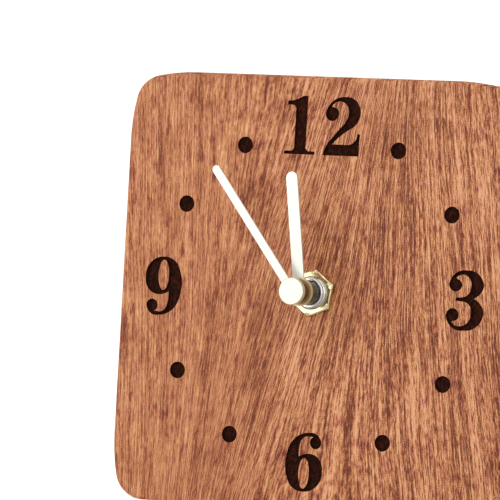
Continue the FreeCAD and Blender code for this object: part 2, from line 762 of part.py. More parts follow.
def hex_nut():
    corner = "%s / cos(30)" % NUT_HALF
    around = [("%s * sin(%d)" % (corner, angle), "%s * cos(%d)" % (corner, angle))
              for angle in range(WHOLE_TURN, 0, -60)]
    body = plate("nut", around, "0", "nut_thickness")
    drop = "(%s - %s + overrun) * tan(30)" % (corner, NUT_HALF)
    rim = [(NUT_HALF, "nut_thickness"), (plus(corner, "overrun"), less("nut_thickness", drop)),
           (plus(corner, "overrun"), "nut_thickness + overrun"),
           (NUT_HALF, "nut_thickness + overrun")]
    carve(body, "Groove", outline(body, "XZ_Plane", rim))
    bore = "thread_radius + seat_gap"
    hole = [("0", "-overrun"), (bore, "-overrun"), (bore, "nut_thickness - nut_countersink"),
            (bore + " + nut_countersink", "nut_thickness"),
            (bore + " + nut_countersink", "nut_thickness + overrun"),
            ("0", "nut_thickness + overrun")]
    carve(body, "Groove", outline(body, "XZ_Plane", hole))
    keep("hex_nut", body, spun("-nut_turn"))


def rubber_gasket():
    inner = "thread_radius + seat_gap"
    keep("rubber_gasket", cut(rod("gasket_radius", CASE_FRONT, "-dial_wall"),
                              rod(inner, CASE_FRONT + " - overrun", "-dial_wall + overrun")))


def front_case():
    outer = plate("case_outer", rectangle("-" + CASE_HALF, CASE_HALF, CASE_LOW, CASE_HIGH,
                                          "case_corner"), COVER_INSIDE, CASE_FRONT)
    inner = plate("case_inner", rectangle("-" + INNER_HALF, INNER_HALF, INNER_LOW, INNER_HIGH,
                                          "case_corner - case_wall"),
                  COVER_INSIDE + " - overrun", CASE_FLOOR)
    shell = cut(outer, inner)
    partition = block("-" + INNER_HALF, INNER_HALF, PARTITION_LOW, PARTITION_UP,
                      COVER_INSIDE, CASE_FLOOR)
    rests = [rod("leg_radius", BRIDGE_TOP, CASE_FLOOR, *place) for place in LEGS]
    rests += [rod("post_radius", CORE_TOP, CASE_FLOOR, place, CORE_UP)
              for place in CORE_SCREWS]
    rests += [rod("board_post_radius", BOARD_LEVEL, CASE_FLOOR,
                  BOARD_LEFT + " + board_post_inset", up)
              for up in (BOARD_LOW + " + board_post_lift", BOARD_HIGH + " - board_post_drop")]
    holes = [rod(SPIGOT_RADIUS + " + seat_gap", CASE_FLOOR + " - overrun",
                 CASE_FRONT + " + overrun")]
    holes += [rod("fine_pivot + running_gap", CASE_FLOOR + " - seat_gap",
                  CASE_FLOOR + " + pivot_depth", *place)
              for place in (THIRD, SECONDS, INTERMEDIATE, ROTOR)]
    holes.append(rod("pivot_radius + running_gap", CASE_FLOOR + " - seat_gap",
                     CASE_FLOOR + " + pivot_depth", *MINUTE))
    holes += [rod("screw_radius + seat_gap", CORE_TOP + " - overrun",
                  STATOR_LOW + " + screw_length + overrun", place, CORE_UP)
              for place in CORE_SCREWS]
    slot = "contact_thickness + seat_gap"
    for left, right in (("-" + INNER_HALF, "-%s + %s" % (INNER_HALF, slot)),
                        ("%s - (%s)" % (INNER_HALF, slot), INNER_HALF)):
        holes.append(block(left, right, PARTITION_LOW + " - seat_gap",
                           PARTITION_UP + " + seat_gap", BOARD_LEVEL + " - seat_gap",
                           BOARD_LEVEL + " + contact_strip_width + seat_gap"))
    keep("front_case", cut(fuse(shell, partition, *rests), *holes))


def rear_cover():
    lid = plate("cover_plate", rectangle("-" + CASE_HALF, CASE_HALF, CASE_LOW, CASE_HIGH,
                                         "case_corner"), CASE_BACK, COVER_INSIDE)
    edge = "(%s - lip_gap)" % INNER_HALF
    low = PARTITION_UP + " + lip_gap"
    high = INNER_HIGH + " - lip_gap"
    rim = plate("cover_rim", rectangle("-" + edge, edge, low, high, "case_corner - case_wall"),
                COVER_INSIDE, COVER_INSIDE + " + lip_height")
    lip = cut(rim,
              block("-%s + lip_thickness" % edge, edge + " - lip_thickness",
                    low + " + lip_thickness", high + " - lip_thickness",
                    COVER_INSIDE + " - seat_gap", COVER_INSIDE + " + lip_height + overrun"))
    window = block("-" + INNER_HALF, INNER_HALF, INNER_LOW, PARTITION_LOW,
                   CASE_BACK + " - overrun", COVER_INSIDE + " + overrun")
    shaft = rod("knob_shaft_radius + loose_gap", CASE_BACK + " - overrun",
                COVER_INSIDE + " + overrun", *MINUTE)
    keep("rear_cover", cut(fuse(lid, lip), window, shaft))


def train_bridge():
    corners = [("bridge_left", "-bridge_drop"), ("bridge_right", "-bridge_drop"),
               ("bridge_right", "bridge_high"), ("tongue_right", "bridge_high"),
               ("tongue_right", "bridge_top"), ("tongue_left", "bridge_top"),
               ("bridge_left", "shoulder_up")]
    fine = "fine_pivot + running_gap"
    holes = [place + (fine,) for place in (THIRD, SECONDS, INTERMEDIATE, ROTOR)]
    holes.append(CENTRE + ("pivot_radius + running_gap",))
    holes.append(MINUTE + (SHANK_RADIUS + " + running_gap",))
    keep("train_bridge", plate("bridge", corners, BRIDGE_LOW, BRIDGE_TOP, holes))


def stator_and_coil():
    low = CORE_UP + " - arm_width / 2"
    high = CORE_UP + " + arm_width / 2"
    cross_low = ROTOR[1] + " - arm_width / 2"
    ring = "magnet_radius + magnet_gap"
    arms = fuse(rod(ring + " + stator_rim", STATOR_LOW, STATOR_TOP, *ROTOR),
                block(CORE_LEFT, CORE_LEFT + " + arm_width", ROTOR[1], high,
                      STATOR_LOW, STATOR_TOP),
                block(ROTOR[0], CORE_RIGHT, cross_low, cross_low + " + arm_width",
                      STATOR_LOW, STATOR_TOP),
                block(CORE_RIGHT + " - arm_width", CORE_RIGHT, cross_low, high,
                      STATOR_LOW, STATOR_TOP))
    holes = [rod("screw_radius + seat_gap", STATOR_LOW + " - overrun", CORE_TOP + " + overrun",
                 place, CORE_UP) for place in CORE_SCREWS]
    gap = rod(ring, STATOR_LOW + " - overrun", STATOR_TOP + " + overrun", *ROTOR)
    keep("stator_plate", cut(arms, gap, *holes))
    core = plate("core", rectangle(CORE_LEFT, CORE_RIGHT, low, high), STATOR_TOP, CORE_TOP,
                 [(place, CORE_UP, "screw_radius + seat_gap") for place in CORE_SCREWS])
    keep("coil_core", core)
    left = CORE_LEFT + " + arm_width + bobbin_gap"
    right = CORE_RIGHT + " - arm_width - bobbin_gap"
    tube = cross_rod("bobbin_tube", left, right, CORE_UP, CORE_LEVEL)
    ends = [cross_rod("bobbin_radius", end, end + " + bobbin_flange", CORE_UP, CORE_LEVEL)
            for end in (left, right + " - bobbin_flange")]
    slot = block(left + " - overrun", right + " + overrun", low + " - seat_gap",
                 high + " + seat_gap", STATOR_TOP + " - seat_gap", CORE_TOP + " + seat_gap")
    keep("coil_bobbin", cut(fuse(tube, *ends), slot))
    left += " + bobbin_flange + seat_gap"
    right += " - bobbin_flange - seat_gap"
    keep("coil_winding", cut(
        cross_rod("bobbin_radius - winding_margin", left, right, CORE_UP, CORE_LEVEL),
        cross_rod("bobbin_tube + seat_gap", left + " - overrun", right + " + overrun",
                  CORE_UP, CORE_LEVEL)))
    screws = []
    for place in CORE_SCREWS:
        head = "%s - screw_head_height" % STATOR_LOW
        screw = fuse(rod("screw_head_radius", head, STATOR_LOW, place, CORE_UP),
                     rod("screw_radius", STATOR_LOW, STATOR_LOW + " + screw_length",
                         place, CORE_UP))
        screws.append(cut(screw, block(
            less(place, "screw_head_radius + overrun"),
            plus(place, "screw_head_radius + overrun"),
            CORE_UP + " - screw_slot / 2", CORE_UP + " + screw_slot / 2",
            head + " - overrun", head + " + screw_slot")))
    group = doc.addObject("Part::Compound", "screws")
    group.Links = screws
    keep("core_screws", group)


def circuit_board():
    corners = rectangle(BOARD_LEFT, BOARD_RIGHT, BOARD_LOW, BOARD_HIGH)
    keep("circuit_board", plate("board", corners, BOARD_LEVEL + " - board_thickness",
                                BOARD_LEVEL))
    can = "crystal_radius"
    profile = [("0", "0"), (can + " - crystal_edge", "0"), (can, "crystal_edge"),
               (can, "crystal_length - crystal_edge"), (can + " - crystal_edge", "crystal_length"),
               ("0", "crystal_length")]
    keep("quartz_crystal", turned("crystal", profile),
         lying(BOARD_MIDDLE, BOARD_LOW + " + crystal_lift", BOARD_LEVEL + " + crystal_radius",
               "up"))
    round_chip = "(chip_radius * chip_radius + chip_height * chip_height) / (2 * chip_height)"
    blob = turned("chip", [("0", "0"), ("chip_radius", "0", round_chip, 1),
                           ("0", "chip_height")])
    keep("chip_blob", blob,
         lying(BOARD_MIDDLE, BOARD_LOW + " + chip_lift", BOARD_LEVEL, "out"))


def contacts():
    front = BOARD_LEVEL + " + contact_strip_width"
    pad_low = CELL_UP + " - contact_half_height"
    pad_high = CELL_UP + " + contact_half_height"
    pad_back = CELL_LEVEL + " - contact_half_width"
    pad_front = CELL_LEVEL + " + contact_half_width"
    strip_low = PARTITION_UP + " + strip_offset"
    strip_high = strip_low + " + strip_thickness"
    fold_left = BOARD_RIGHT + " - contact_fold"
    fold_high = BOARD_LOW + " + contact_fold"
    fold_front = BOARD_LEVEL + " + strip_thickness"
    inner = "%s - contact_thickness" % INNER_HALF
    wall = block(inner, INNER_HALF, pad_low, pad_high, pad_back, pad_front)
    dome = cross_rod("contact_pad_radius", plus(CELL_RIGHT, "contact_gap"), inner,
                     CELL_UP, CELL_LEVEL)
    riser = block(inner, INNER_HALF, pad_high, strip_high, BOARD_LEVEL, front)
    strip = block(fold_left, INNER_HALF, strip_low, strip_high, BOARD_LEVEL, front)
    tab = block(fold_left, BOARD_RIGHT, strip_low, fold_high, BOARD_LEVEL, fold_front)
    keep("contact_positive", fuse(wall, dome, riser, strip, tab))
    left = "-" + INNER_HALF
    outer = left + " + contact_thickness"
    wall = block(left, outer, pad_low, pad_high, pad_back, pad_front)
    dome = cross_rod("contact_pad_radius", outer, less(CELL_LEFT, "contact_gap"),
                     CELL_UP, CELL_LEVEL)
    riser = block(left, outer, pad_high, fold_high, BOARD_LEVEL, front)
    tab = block(left, BOARD_LEFT + " + contact_fold", BOARD_LOW, fold_high, BOARD_LEVEL,
                fold_front)
    keep("contact_negative", fuse(wall, dome, riser, tab))


def battery():
    can = "cell_radius - cell_label_thickness - seat_gap"
    shoulder = "cell_length - nub_height"
    profile = [("0", "0"), (can + " - cell_edge", "0"), (can, "cell_edge"),
               (can, shoulder + " - cell_edge"), (can + " - cell_edge", shoulder),
               ("nub_radius", shoulder), ("nub_radius", "cell_length"), ("0", "cell_length")]
    keep("battery_cell", turned("cell", profile),
         lying(CELL_LEFT, CELL_UP, CELL_LEVEL, "across"))
    left = "%s + cell_label_margin" % CELL_LEFT
    right = "%s - nub_height - cell_label_margin" % CELL_RIGHT
    keep("battery_sleeve", cut(
        cross_rod("cell_radius", left, right, CELL_UP, CELL_LEVEL),
        cross_rod("cell_radius - cell_label_thickness", left + " - overrun",
                  right + " + overrun", CELL_UP, CELL_LEVEL)))


def hand(label, hub, length, width, low, high, bore):
    """A flat hand: a round hub and a parallel arm with a rounded tip."""
    half = "%s / 2" % width
    join = "sqrt(%s * %s - %s * %s / 4)" % (hub, hub, width, width)
    shoulder = less(length, half)
    corners = [
        (half, join), (half, shoulder, half, 1), ("0", length, half, 1),
        ("-" + half, shoulder), ("-" + half, join, hub, 1), ("0", "-" + hub, hub, 1),
    ]
    return plate(label, corners, low, high, [("0", "0", bore)])


def hands():
    top = "hour_level + hour_thickness"
    bore = PIPE_RADIUS + " + seat_gap"
    hour = hand("hour", HOUR_HUB, "hour_length", "hour_width", "hour_level", top, bore)
    rim = HOUR_HUB + " - hour_rim"
    dish = [("0", top + " - hour_rim_step"), (rim, top + " - hour_rim_step"),
            (rim, top + " + overrun"), ("0", top + " + overrun")]
    carve(hour, "Groove", outline(hour, "XZ_Plane", dish))
    keep("hour_hand", hour, spun("hour_turn"))
    collet_low = "bush_end - bush_mouth_depth + level_gap"
    keep("hour_hand_collet", cut(
        rod(COLLET_RADIUS, collet_low, "hour_level"),
        rod(bore, collet_low + " - overrun", "hour_level + overrun")))
    plane = "minute_level + minute_thickness"
    keep("minute_hand", hand("minute", "minute_hub", "minute_length", "minute_width",
                             "minute_level", plane, MINUTE_BORE), spun("minute_turn"))
    collet_low = top + " + level_gap"
    keep("minute_hand_collet", cut(
        rod(MINUTE_COLLET_RADIUS, collet_low, "minute_level"),
        rod(MINUTE_BORE, collet_low + " - overrun", "minute_level + overrun")))
    profile = [("0", plane + " + cap_socket"), (MINUTE_BORE, plane + " + cap_socket"),
               (MINUTE_BORE, plane), (CAP_RADIUS, plane),
               (CAP_RADIUS, CAP_FRONT + " - cap_edge", "cap_edge", 1),
               (CAP_RADIUS + " - cap_edge", CAP_FRONT), ("0", CAP_FRONT)]
    keep("minute_hand_cap", turned("cap", profile))


def motion_work():
    plane = "minute_level + minute_thickness"
    high = plane + " + cap_socket - seat_gap"
    cannon_top = "%s + %s" % (MINUTE_TOP, HALF_STEP)
    cannon_low = "%s - %s" % (MINUTE_LOW, HALF_STEP)
    clutch_low = CENTRE_LOW + " - seat_gap - spring_thickness - seat_gap"
    collar_low = clutch_low + " - collar_length"
    shank_low = BRIDGE_TOP + " + running_gap"
    keep("minute_arbor", fuse(
        rod(ARBOR_RADIUS, cannon_top, high),
        gear("cannon_pinion", "motion_tooth_size", cannon_low, cannon_top, "0", "0", 0),
        rod(CLUTCH_RADIUS, clutch_low, cannon_low),
        rod(CLUTCH_RADIUS + " + collar_step", collar_low, clutch_low),
        rod(SHANK_RADIUS, shank_low, collar_low),
        rod("pivot_radius", PIVOT_LOW, shank_low)))
    keep("clutch_spring", cut(
        rod(CLUTCH_RADIUS + " + spring_width", clutch_low, clutch_low + " + spring_thickness"),
        rod(CLUTCH_RADIUS + " + seat_gap", clutch_low + " - overrun",
            clutch_low + " + overrun")))
    keep("hour_wheel", cut(
        fuse(gear("hour_wheel", "hour_tooth_size", HOUR_LOW, HOUR_TOP, "0", "0", 0),
             rod(PIPE_RADIUS, HOUR_LOW, "hour_level + hour_thickness - hour_rim_step")),
        rod(PIPE_BORE, HOUR_LOW + " - overrun", "hour_level + hour_thickness + overrun")))
    knob_shaft_top = BRIDGE_LOW + " - shaft_joint"
    keep("minute_wheel", fuse(
        gear("minute_wheel", "motion_tooth_size", MINUTE_LOW, MINUTE_TOP, *MINUTE, HALF_TURN),
        gear("minute_pinion", "hour_tooth_size", MINUTE_TOP, HOUR_TOP + " + seat_gap",
             *MINUTE, HALF_TURN),
        rod("pivot_radius", HOUR_TOP, PIVOT_TOP, *MINUTE),
        rod(SHANK_RADIUS, knob_shaft_top, MINUTE_LOW, *MINUTE)))
    head_top = CASE_BACK + " - knob_gap"
    head_low = head_top + " - knob_height"
    inner = "knob_radius - knob_rim"
    knob = turned("knob", [
        ("0", head_low + " + knob_dish"), (inner, head_low + " + knob_dish"),
        (inner, head_low), ("knob_radius - knob_edge", head_low),
        ("knob_radius", head_low + " + knob_edge"), ("knob_radius", head_top),
        ("knob_shaft_radius", head_top), ("knob_shaft_radius", knob_shaft_top),
        ("0", knob_shaft_top)])
    flute = carve(knob, "Pocket", outline(knob, "XY_Plane", [], head_low + " - overrun", [
        ("knob_radius + flute_radius / 2", "0", "flute_radius")]),
        "knob_height + 2 * overrun", True)
    ring = knob.newObject("PartDesign::PolarPattern", "flutes")
    ring.Originals = [flute]
    ring.Axis = (flute.Profile[0], ["N_Axis"])
    ring.Occurrences = KNOB_FLUTES
    ring.Angle = WHOLE_TURN
    knob.Tip = ring
    doc.recompute()
    keep("setting_knob", knob, lying(*MINUTE, "0", "out"))


def train():
    keep("centre_wheel", cut(
        gear("centre_wheel", "centre_tooth_size", CENTRE_LOW, CENTRE_TOP, "0", "0",
             SIZES["third_bearing"]),
        rod(CLUTCH_RADIUS + " + running_gap", CENTRE_LOW + " - overrun",
            CENTRE_TOP + " + overrun")))
    steps = (
        ("third_wheel", "third_pinion", THIRD, "centre_tooth_size", "third_tooth_size",
         THIRD_LOW, THIRD_TOP, CENTRE_TOP, "third_bearing", "seconds_bearing"),
        ("seconds_wheel", "seconds_pinion", SECONDS, "third_tooth_size", "seconds_tooth_size",
         SECONDS_LOW, SECONDS_TOP, THIRD_TOP, "seconds_bearing", "intermediate_bearing"),
        ("intermediate_wheel", "intermediate_pinion", INTERMEDIATE, "seconds_tooth_size",
         "seconds_tooth_size", INTERMEDIATE_LOW, INTERMEDIATE_TOP, SECONDS_TOP,
         "intermediate_bearing", "rotor_bearing"),
    )
    for name, pinion, place, pinion_size, wheel_size, low, top, above, back, onward in steps:
        keep(name, fuse(
            rod("fine_pivot", PIVOT_LOW, PIVOT_TOP, *place),
            gear(name, wheel_size, low, top, *place, SIZES[onward]),
            gear(pinion, pinion_size, top, "%s + %s" % (above, HALF_STEP), *place,
                 SIZES[back] + HALF_TURN)))
    keep("rotor_pinion", fuse(
        rod("fine_pivot", PIVOT_LOW, PIVOT_TOP, *ROTOR),
        gear("rotor_pinion", "seconds_tooth_size", MAGNET_TOP,
             "%s + %s" % (INTERMEDIATE_TOP, HALF_STEP), *ROTOR,
             SIZES["rotor_bearing"] + HALF_TURN)))
    keep("rotor_magnet", cut(
        rod("magnet_radius", MAGNET_LOW, MAGNET_TOP, *ROTOR),
        rod("fine_pivot + seat_gap", MAGNET_LOW + " - overrun", MAGNET_TOP + " + overrun",
            *ROTOR)))


def write_pieces():
    """Stop on any failed object, then write each piece to its own file."""
    doc.recompute()
    for item in doc.Objects:
        if "Invalid" in item.State or "Error" in item.State:
            raise RuntimeError("%s has failed: %s" % (item.Label, item.State))
    os.makedirs("parts", exist_ok=True)
    for label, item in pieces.items():
        shape = item.Shape
        if shape.isNull() or not shape.isValid() or not shape.Solids:
            raise RuntimeError(label + " has no valid solid")
        shape.exportStep("parts/%s.step" % label)
        box = shape.BoundBox
        print("%-20s %d solid %10.2f mm3  x %7.2f %7.2f  y %7.2f %7.2f  z %7.2f %7.2f" % (
            label, len(shape.Solids), shape.Volume,
            box.XMin, box.XMax, box.YMin, box.YMax, box.ZMin, box.ZMax))


wood_body()
threaded_bush()
hex_nut()
rubber_gasket()
front_case()
rear_cover()
train_bridge()
stator_and_coil()
circuit_board()
contacts()
battery()
hands()
motion_work()
train()
write_pieces()
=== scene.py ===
"""Finishes, small moulded marks, light and camera for a wooden desk clock."""
import json
import math

import bmesh
import bpy
from mathutils import Matrix, Vector


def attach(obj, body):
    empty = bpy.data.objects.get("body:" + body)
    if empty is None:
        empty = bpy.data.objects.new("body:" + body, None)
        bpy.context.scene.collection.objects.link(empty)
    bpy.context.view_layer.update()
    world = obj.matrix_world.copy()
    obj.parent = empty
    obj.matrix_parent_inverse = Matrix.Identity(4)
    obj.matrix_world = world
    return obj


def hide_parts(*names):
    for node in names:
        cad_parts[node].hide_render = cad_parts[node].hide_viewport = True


bl_info = {
    "name": "Wooden Desk Clock",
    "version": (1, 0, 0),
    "blender": (4, 5, 0),
    "location": "3D View > Sidebar > Clock",
    "description": "Dresses a wooden desk clock with burnt numerals and a battery movement",
    "category": "Object",
}

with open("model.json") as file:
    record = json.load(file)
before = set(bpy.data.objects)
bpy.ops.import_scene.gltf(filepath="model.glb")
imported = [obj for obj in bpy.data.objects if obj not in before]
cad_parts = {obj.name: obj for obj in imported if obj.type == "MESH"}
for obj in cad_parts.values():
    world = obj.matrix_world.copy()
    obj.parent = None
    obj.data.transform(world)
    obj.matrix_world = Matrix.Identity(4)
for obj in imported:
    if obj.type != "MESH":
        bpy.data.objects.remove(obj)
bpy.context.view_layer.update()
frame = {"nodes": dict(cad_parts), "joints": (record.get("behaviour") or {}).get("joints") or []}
NODES = frame["nodes"]

PER_METRE = 1000.0
MM = 0.001
WELD_REACH = 0.000001
SHARP_ANGLE = math.radians(40.0)
WHITE = (1.0, 1.0, 1.0)
BLACK = (0.0, 0.0, 0.0)
# The noise at which stains and turned rings in a metal begin and at which they are full
METAL_EDGE = (0.35, 0.7)

# The dial's own frame: across to the reader's right, up along the face, out of it
TURN = next(joint for joint in frame["joints"] if joint["name"] == "minute_turn")
OUT = -Vector(TURN["axis"]).normalized()
ACROSS = Vector((1.0, 0.0, 0.0))
UP = OUT.cross(ACROSS)
FACE_LEVEL = max(OUT.dot(corner.co) for corner in NODES["wood_body"].data.vertices)
HUB = Vector(TURN["pos_m"])
HUB += OUT * (FACE_LEVEL - OUT.dot(HUB))
DIAL_FRAME = Matrix.Translation(HUB) @ Matrix((ACROSS, UP, OUT)).transposed().to_4x4()


def colour(name, text, shade):
    return bpy.props.FloatVectorProperty(
        name=name, description=text, subtype="COLOR", size=3, min=0.0, max=1.0, default=shade)


def length(name, text, metres):
    return bpy.props.FloatProperty(
        name=name, description=text, unit="LENGTH", min=0.0, default=metres)


def share(name, text, amount):
    return bpy.props.FloatProperty(
        name=name, description=text, subtype="FACTOR", min=0.0, max=1.0, default=amount)


class WoodLook(bpy.types.PropertyGroup):
    """Colours and grain of the wooden slab."""
    pale: colour("Pale streaks", "Colour of the lightest grain", (0.81, 0.41, 0.25))
    light: colour("Light wood", "Colour of the light grain", (0.635, 0.268, 0.134))
    middle: colour("Middle wood", "Colour of most of the wood", (0.455, 0.166, 0.079))
    deep: colour("Deep wood", "Colour of the darker grain", (0.25, 0.060, 0.021))
    dark: colour("Dark flecks", "Colour of the darkest grain", (0.125, 0.026, 0.009))
    tan_tint: colour("Tan tint", "Shifts some streaks to tan", (0.97, 1.0, 0.78))
    pink_tint: colour("Pink tint", "Shifts other streaks to pink", (1.0, 0.91, 0.94))
    char: colour("Burnt wood", "Colour of the burnt marks", (0.0115, 0.0036, 0.0024))
    streak_width: length("Streak width", "Width of one streak of the grain", 0.0005)
    streak_length: length("Streak length", "Length of one streak of the grain", 0.0065)
    gloss: share("Roughness", "Roughness of the oiled surface", 0.46)


class MetalLook(bpy.types.PropertyGroup):
    """Colours of the hands and of the hub."""
    hands: colour("Hands", "Pale gold of the hands and cap", (0.75, 0.765, 0.675))
    # Painted light: the deeper gold stands in for the shade on the cap's flank and the golden
    # reflection on the hour hub's rim
    rim: colour("Rim", "Deeper gold on the rims of the hubs", (0.66, 0.54, 0.30))
    # Painted shade: the golden brown inside the hour hub's rim stands in for the shade and dark
    # reflection under the minute hand's cap
    dish_shade: colour("Dish", "Golden brown inside the rim of the hour hand's hub", (0.40, 0.24, 0.09))
    nut: colour("Nut", "Pale brass of the nut", (0.80, 0.70, 0.42))
    bush: colour("Bush", "Plated steel of the threaded bush", (0.82, 0.80, 0.79))
    hand_metal: share("Hand metal", "How metallic the hands' satin lacquer looks", 0.3)
    thread_pitch: length("Thread pitch", "Pitch of the bush's thread", 0.00075)
    rim_width: length("Rim width", "Width of the bright rim of the hour hand's hub", 0.00036)
    fine_edge: length("Fine edge", "How far the hands' edges are broken", 0.00008)
    nut_edge: length("Nut edge", "How far the nut's outer edge is rounded", 0.0004)
    nut_lip: length("Nut lip", "How far the edge of the nut's thread is broken", 0.0003)
    # Partly painted shade: golden metal, darkened for the shadow under the minute hand's cap
    minute_collet: colour("Minute collet", "Golden brown of the minute collet", (0.50, 0.32, 0.13))
    # Painted shade: the near black stands in for the shadow that the hour collet lies in under the
    # hour hand's hub
    hour_collet: colour("Hour collet", "Darkened metal of the hour collet", (0.10, 0.085, 0.08))
    steel: colour("Steel", "Screws, spring and crystal can", (0.62, 0.62, 0.62))
    stator: colour("Stator", "Soft iron of the stator and core", (0.42, 0.42, 0.41))
    nickel: colour("Contacts", "Nickel plate of the contacts", (0.70, 0.68, 0.63))
    copper: colour("Copper", "Enamelled wire of the coil", (0.66, 0.24, 0.10))
    can: colour("Cell can", "Bright ends of the cell", (0.64, 0.64, 0.65))


class MouldingLook(bpy.types.PropertyGroup):
    """Colours of the plastic, rubber and board."""
    black: colour("Black plastic", "Case, cover and knob", (0.024, 0.024, 0.025))
    # Painted sheen: the raised marks are lighter than the black cover to stand in for their gloss
    sheen_grey: colour("Polished marks", "Raised marks on the cover", (0.085, 0.085, 0.088))
    brown: colour("Brown plastic", "Hour wheel and its pipe", (0.17, 0.095, 0.035))
    grey: colour("Grey plastic", "Train bridge", (0.36, 0.37, 0.38))
    white: colour("White plastic", "Wheels and bobbin", (0.78, 0.76, 0.69))
    rubber: colour("Rubber", "Gasket", (0.022, 0.022, 0.022))
    board: colour("Board", "Lacquer of the circuit board", (0.016, 0.13, 0.05))
    chip: colour("Chip", "Resin over the chip", (0.008, 0.008, 0.009))
    magnet: colour("Magnet", "Ferrite of the rotor", (0.06, 0.06, 0.064))
    sleeve: colour("Cell sleeve", "Body of the cell's plain sleeve", (0.016, 0.026, 0.055))
    sleeve_band: colour("Cell band", "Band at the cell's plus end", (0.52, 0.21, 0.06))


class StageLook(bpy.types.PropertyGroup):
    """Floor, light and camera."""
    floor_colour: colour("Floor", "Colour of the pale floor", (0.86, 0.86, 0.86))
    floor_glow: colour("Floor glow", "What the floor adds to its colour where it is seen",
                       (0.62, 0.62, 0.62))
    floor_half: length("Floor reach", "Half of the floor's side", 5.0)
    ambient: share("Ambient", "Strength of the light all round", 0.62)
    key_power: bpy.props.FloatProperty(
        name="Key light", description="Power of the main light", unit="POWER", default=8.0)
    fill_power: bpy.props.FloatProperty(
        name="Fill light", description="Power of the weak light", unit="POWER", default=1.5)
    key_place: bpy.props.FloatVectorProperty(
        name="Key place", description="Where the main light hangs", subtype="TRANSLATION",
        unit="LENGTH", default=(-0.60, -0.95, 0.62))
    fill_place: bpy.props.FloatVectorProperty(
        name="Fill place", description="Where the weak light hangs", subtype="TRANSLATION",
        unit="LENGTH", default=(0.90, -0.90, 0.55))
    key_size: length("Key size", "Side of the main light", 1.3)
    fill_size: length("Fill size", "Side of the weak light", 0.8)
    camera_place: bpy.props.FloatVectorProperty(
        name="Camera place", description="Where the camera stands", subtype="TRANSLATION",
        unit="LENGTH", default=(0.690175, -1.52982, 0.23211))
    camera_azimuth: bpy.props.FloatProperty(
        name="Azimuth", description="How far the camera stands to the reader's right",
        subtype="ANGLE", default=math.radians(25.043))
    camera_elevation: bpy.props.FloatProperty(
        name="Elevation", description="How steeply the camera looks down",
        subtype="ANGLE", default=math.radians(5.693))
    camera_lens: bpy.props.FloatProperty(
        name="Lens", description="Focal length", unit="CAMERA", default=471.5)


class Signal:
    """A value in a node tree that takes part in sums as a number does."""

    def __init__(self, tree, socket):
        self.tree = tree
        self.socket = socket

    def sum(self, operation, *values):
        node = self.tree.add("ShaderNodeMath", {"operation": operation}, dict(enumerate(values)))
        return Signal(self.tree, node.outputs[0])

    def __add__(self, other):
        return self.sum("ADD", self, other)

    def __radd__(self, other):
        return self.sum("ADD", other, self)

    def __sub__(self, other):
        return self.sum("SUBTRACT", self, other)

    def __rsub__(self, other):
        return self.sum("SUBTRACT", other, self)

    def __mul__(self, other):
        return self.sum("MULTIPLY", self, other)

    def __rmul__(self, other):
        return self.sum("MULTIPLY", other, self)

    def __truediv__(self, other):
        return self.sum("DIVIDE", self, other)

    def __rtruediv__(self, other):
        return self.sum("DIVIDE", other, self)

    def __pow__(self, other):
        return self.sum("POWER", self, other)

    def __rpow__(self, other):
        return self.sum("POWER", other, self)

    def __neg__(self):
        return self.sum("SUBTRACT", 0.0, self)

    def bell(self, middle, width):
        """One at a middle value, and falling to nothing on both sides."""
        off = (self - middle) / width
        power = -(off * off)
        return power.sum("EXPONENT", power)

    def swing(self, amount):
        """Let a noise between zero and one swing about nothing by an amount."""
        return (self - 0.5) * amount

    def wave(self, period):
        """A smooth wave between -1 and 1."""
        angle = self * (math.tau / period)
        return angle.sum("SINE", angle)

    def between(self, low, high):
        """Zero at low, one at high, with a soft change between the two."""
        node = self.tree.add("ShaderNodeMapRange", {"interpolation_type": "SMOOTHSTEP"},
                             {"Value": self, "From Min": low, "From Max": high})
        return Signal(self.tree, node.outputs[0])

    def shades(self, stops):
        """The colour that a ramp gives this value."""
        node = self.tree.add("ShaderNodeValToRGB", {"stops": stops}, {0: self})
        return node.outputs[0]


class Tree:
    """A node tree, emptied, and the one way to put nodes into it."""

    def __init__(self, node_tree):
        self.node_tree = node_tree
        self.node_tree.nodes.clear()

    def feed(self, entry, value):
        """Set a socket to a value, or link it."""
        if isinstance(value, Signal):
            value = value.socket
        if isinstance(value, bpy.types.NodeSocket):
            self.node_tree.links.new(value, entry)
        elif entry.type == "RGBA":
            entry.default_value = (*value, 1.0)
        else:
            entry.default_value = value

    def add(self, kind, settings=None, values=None):
        """Add a node: its settings first, then the values or links of its sockets."""
        node = self.node_tree.nodes.new(kind)
        for name, setting in (settings or {}).items():
            if name != "stops":
                setattr(node, name, setting)
                continue
            ramp = node.color_ramp
            while len(ramp.elements) < len(setting):
                ramp.elements.new(1.0)
            for element, (position, shade) in zip(ramp.elements, setting):
                element.position = position
                element.color = (*shade, 1.0)
        for name, value in (values or {}).items():
            self.feed(node.inputs[name], value)
        return node


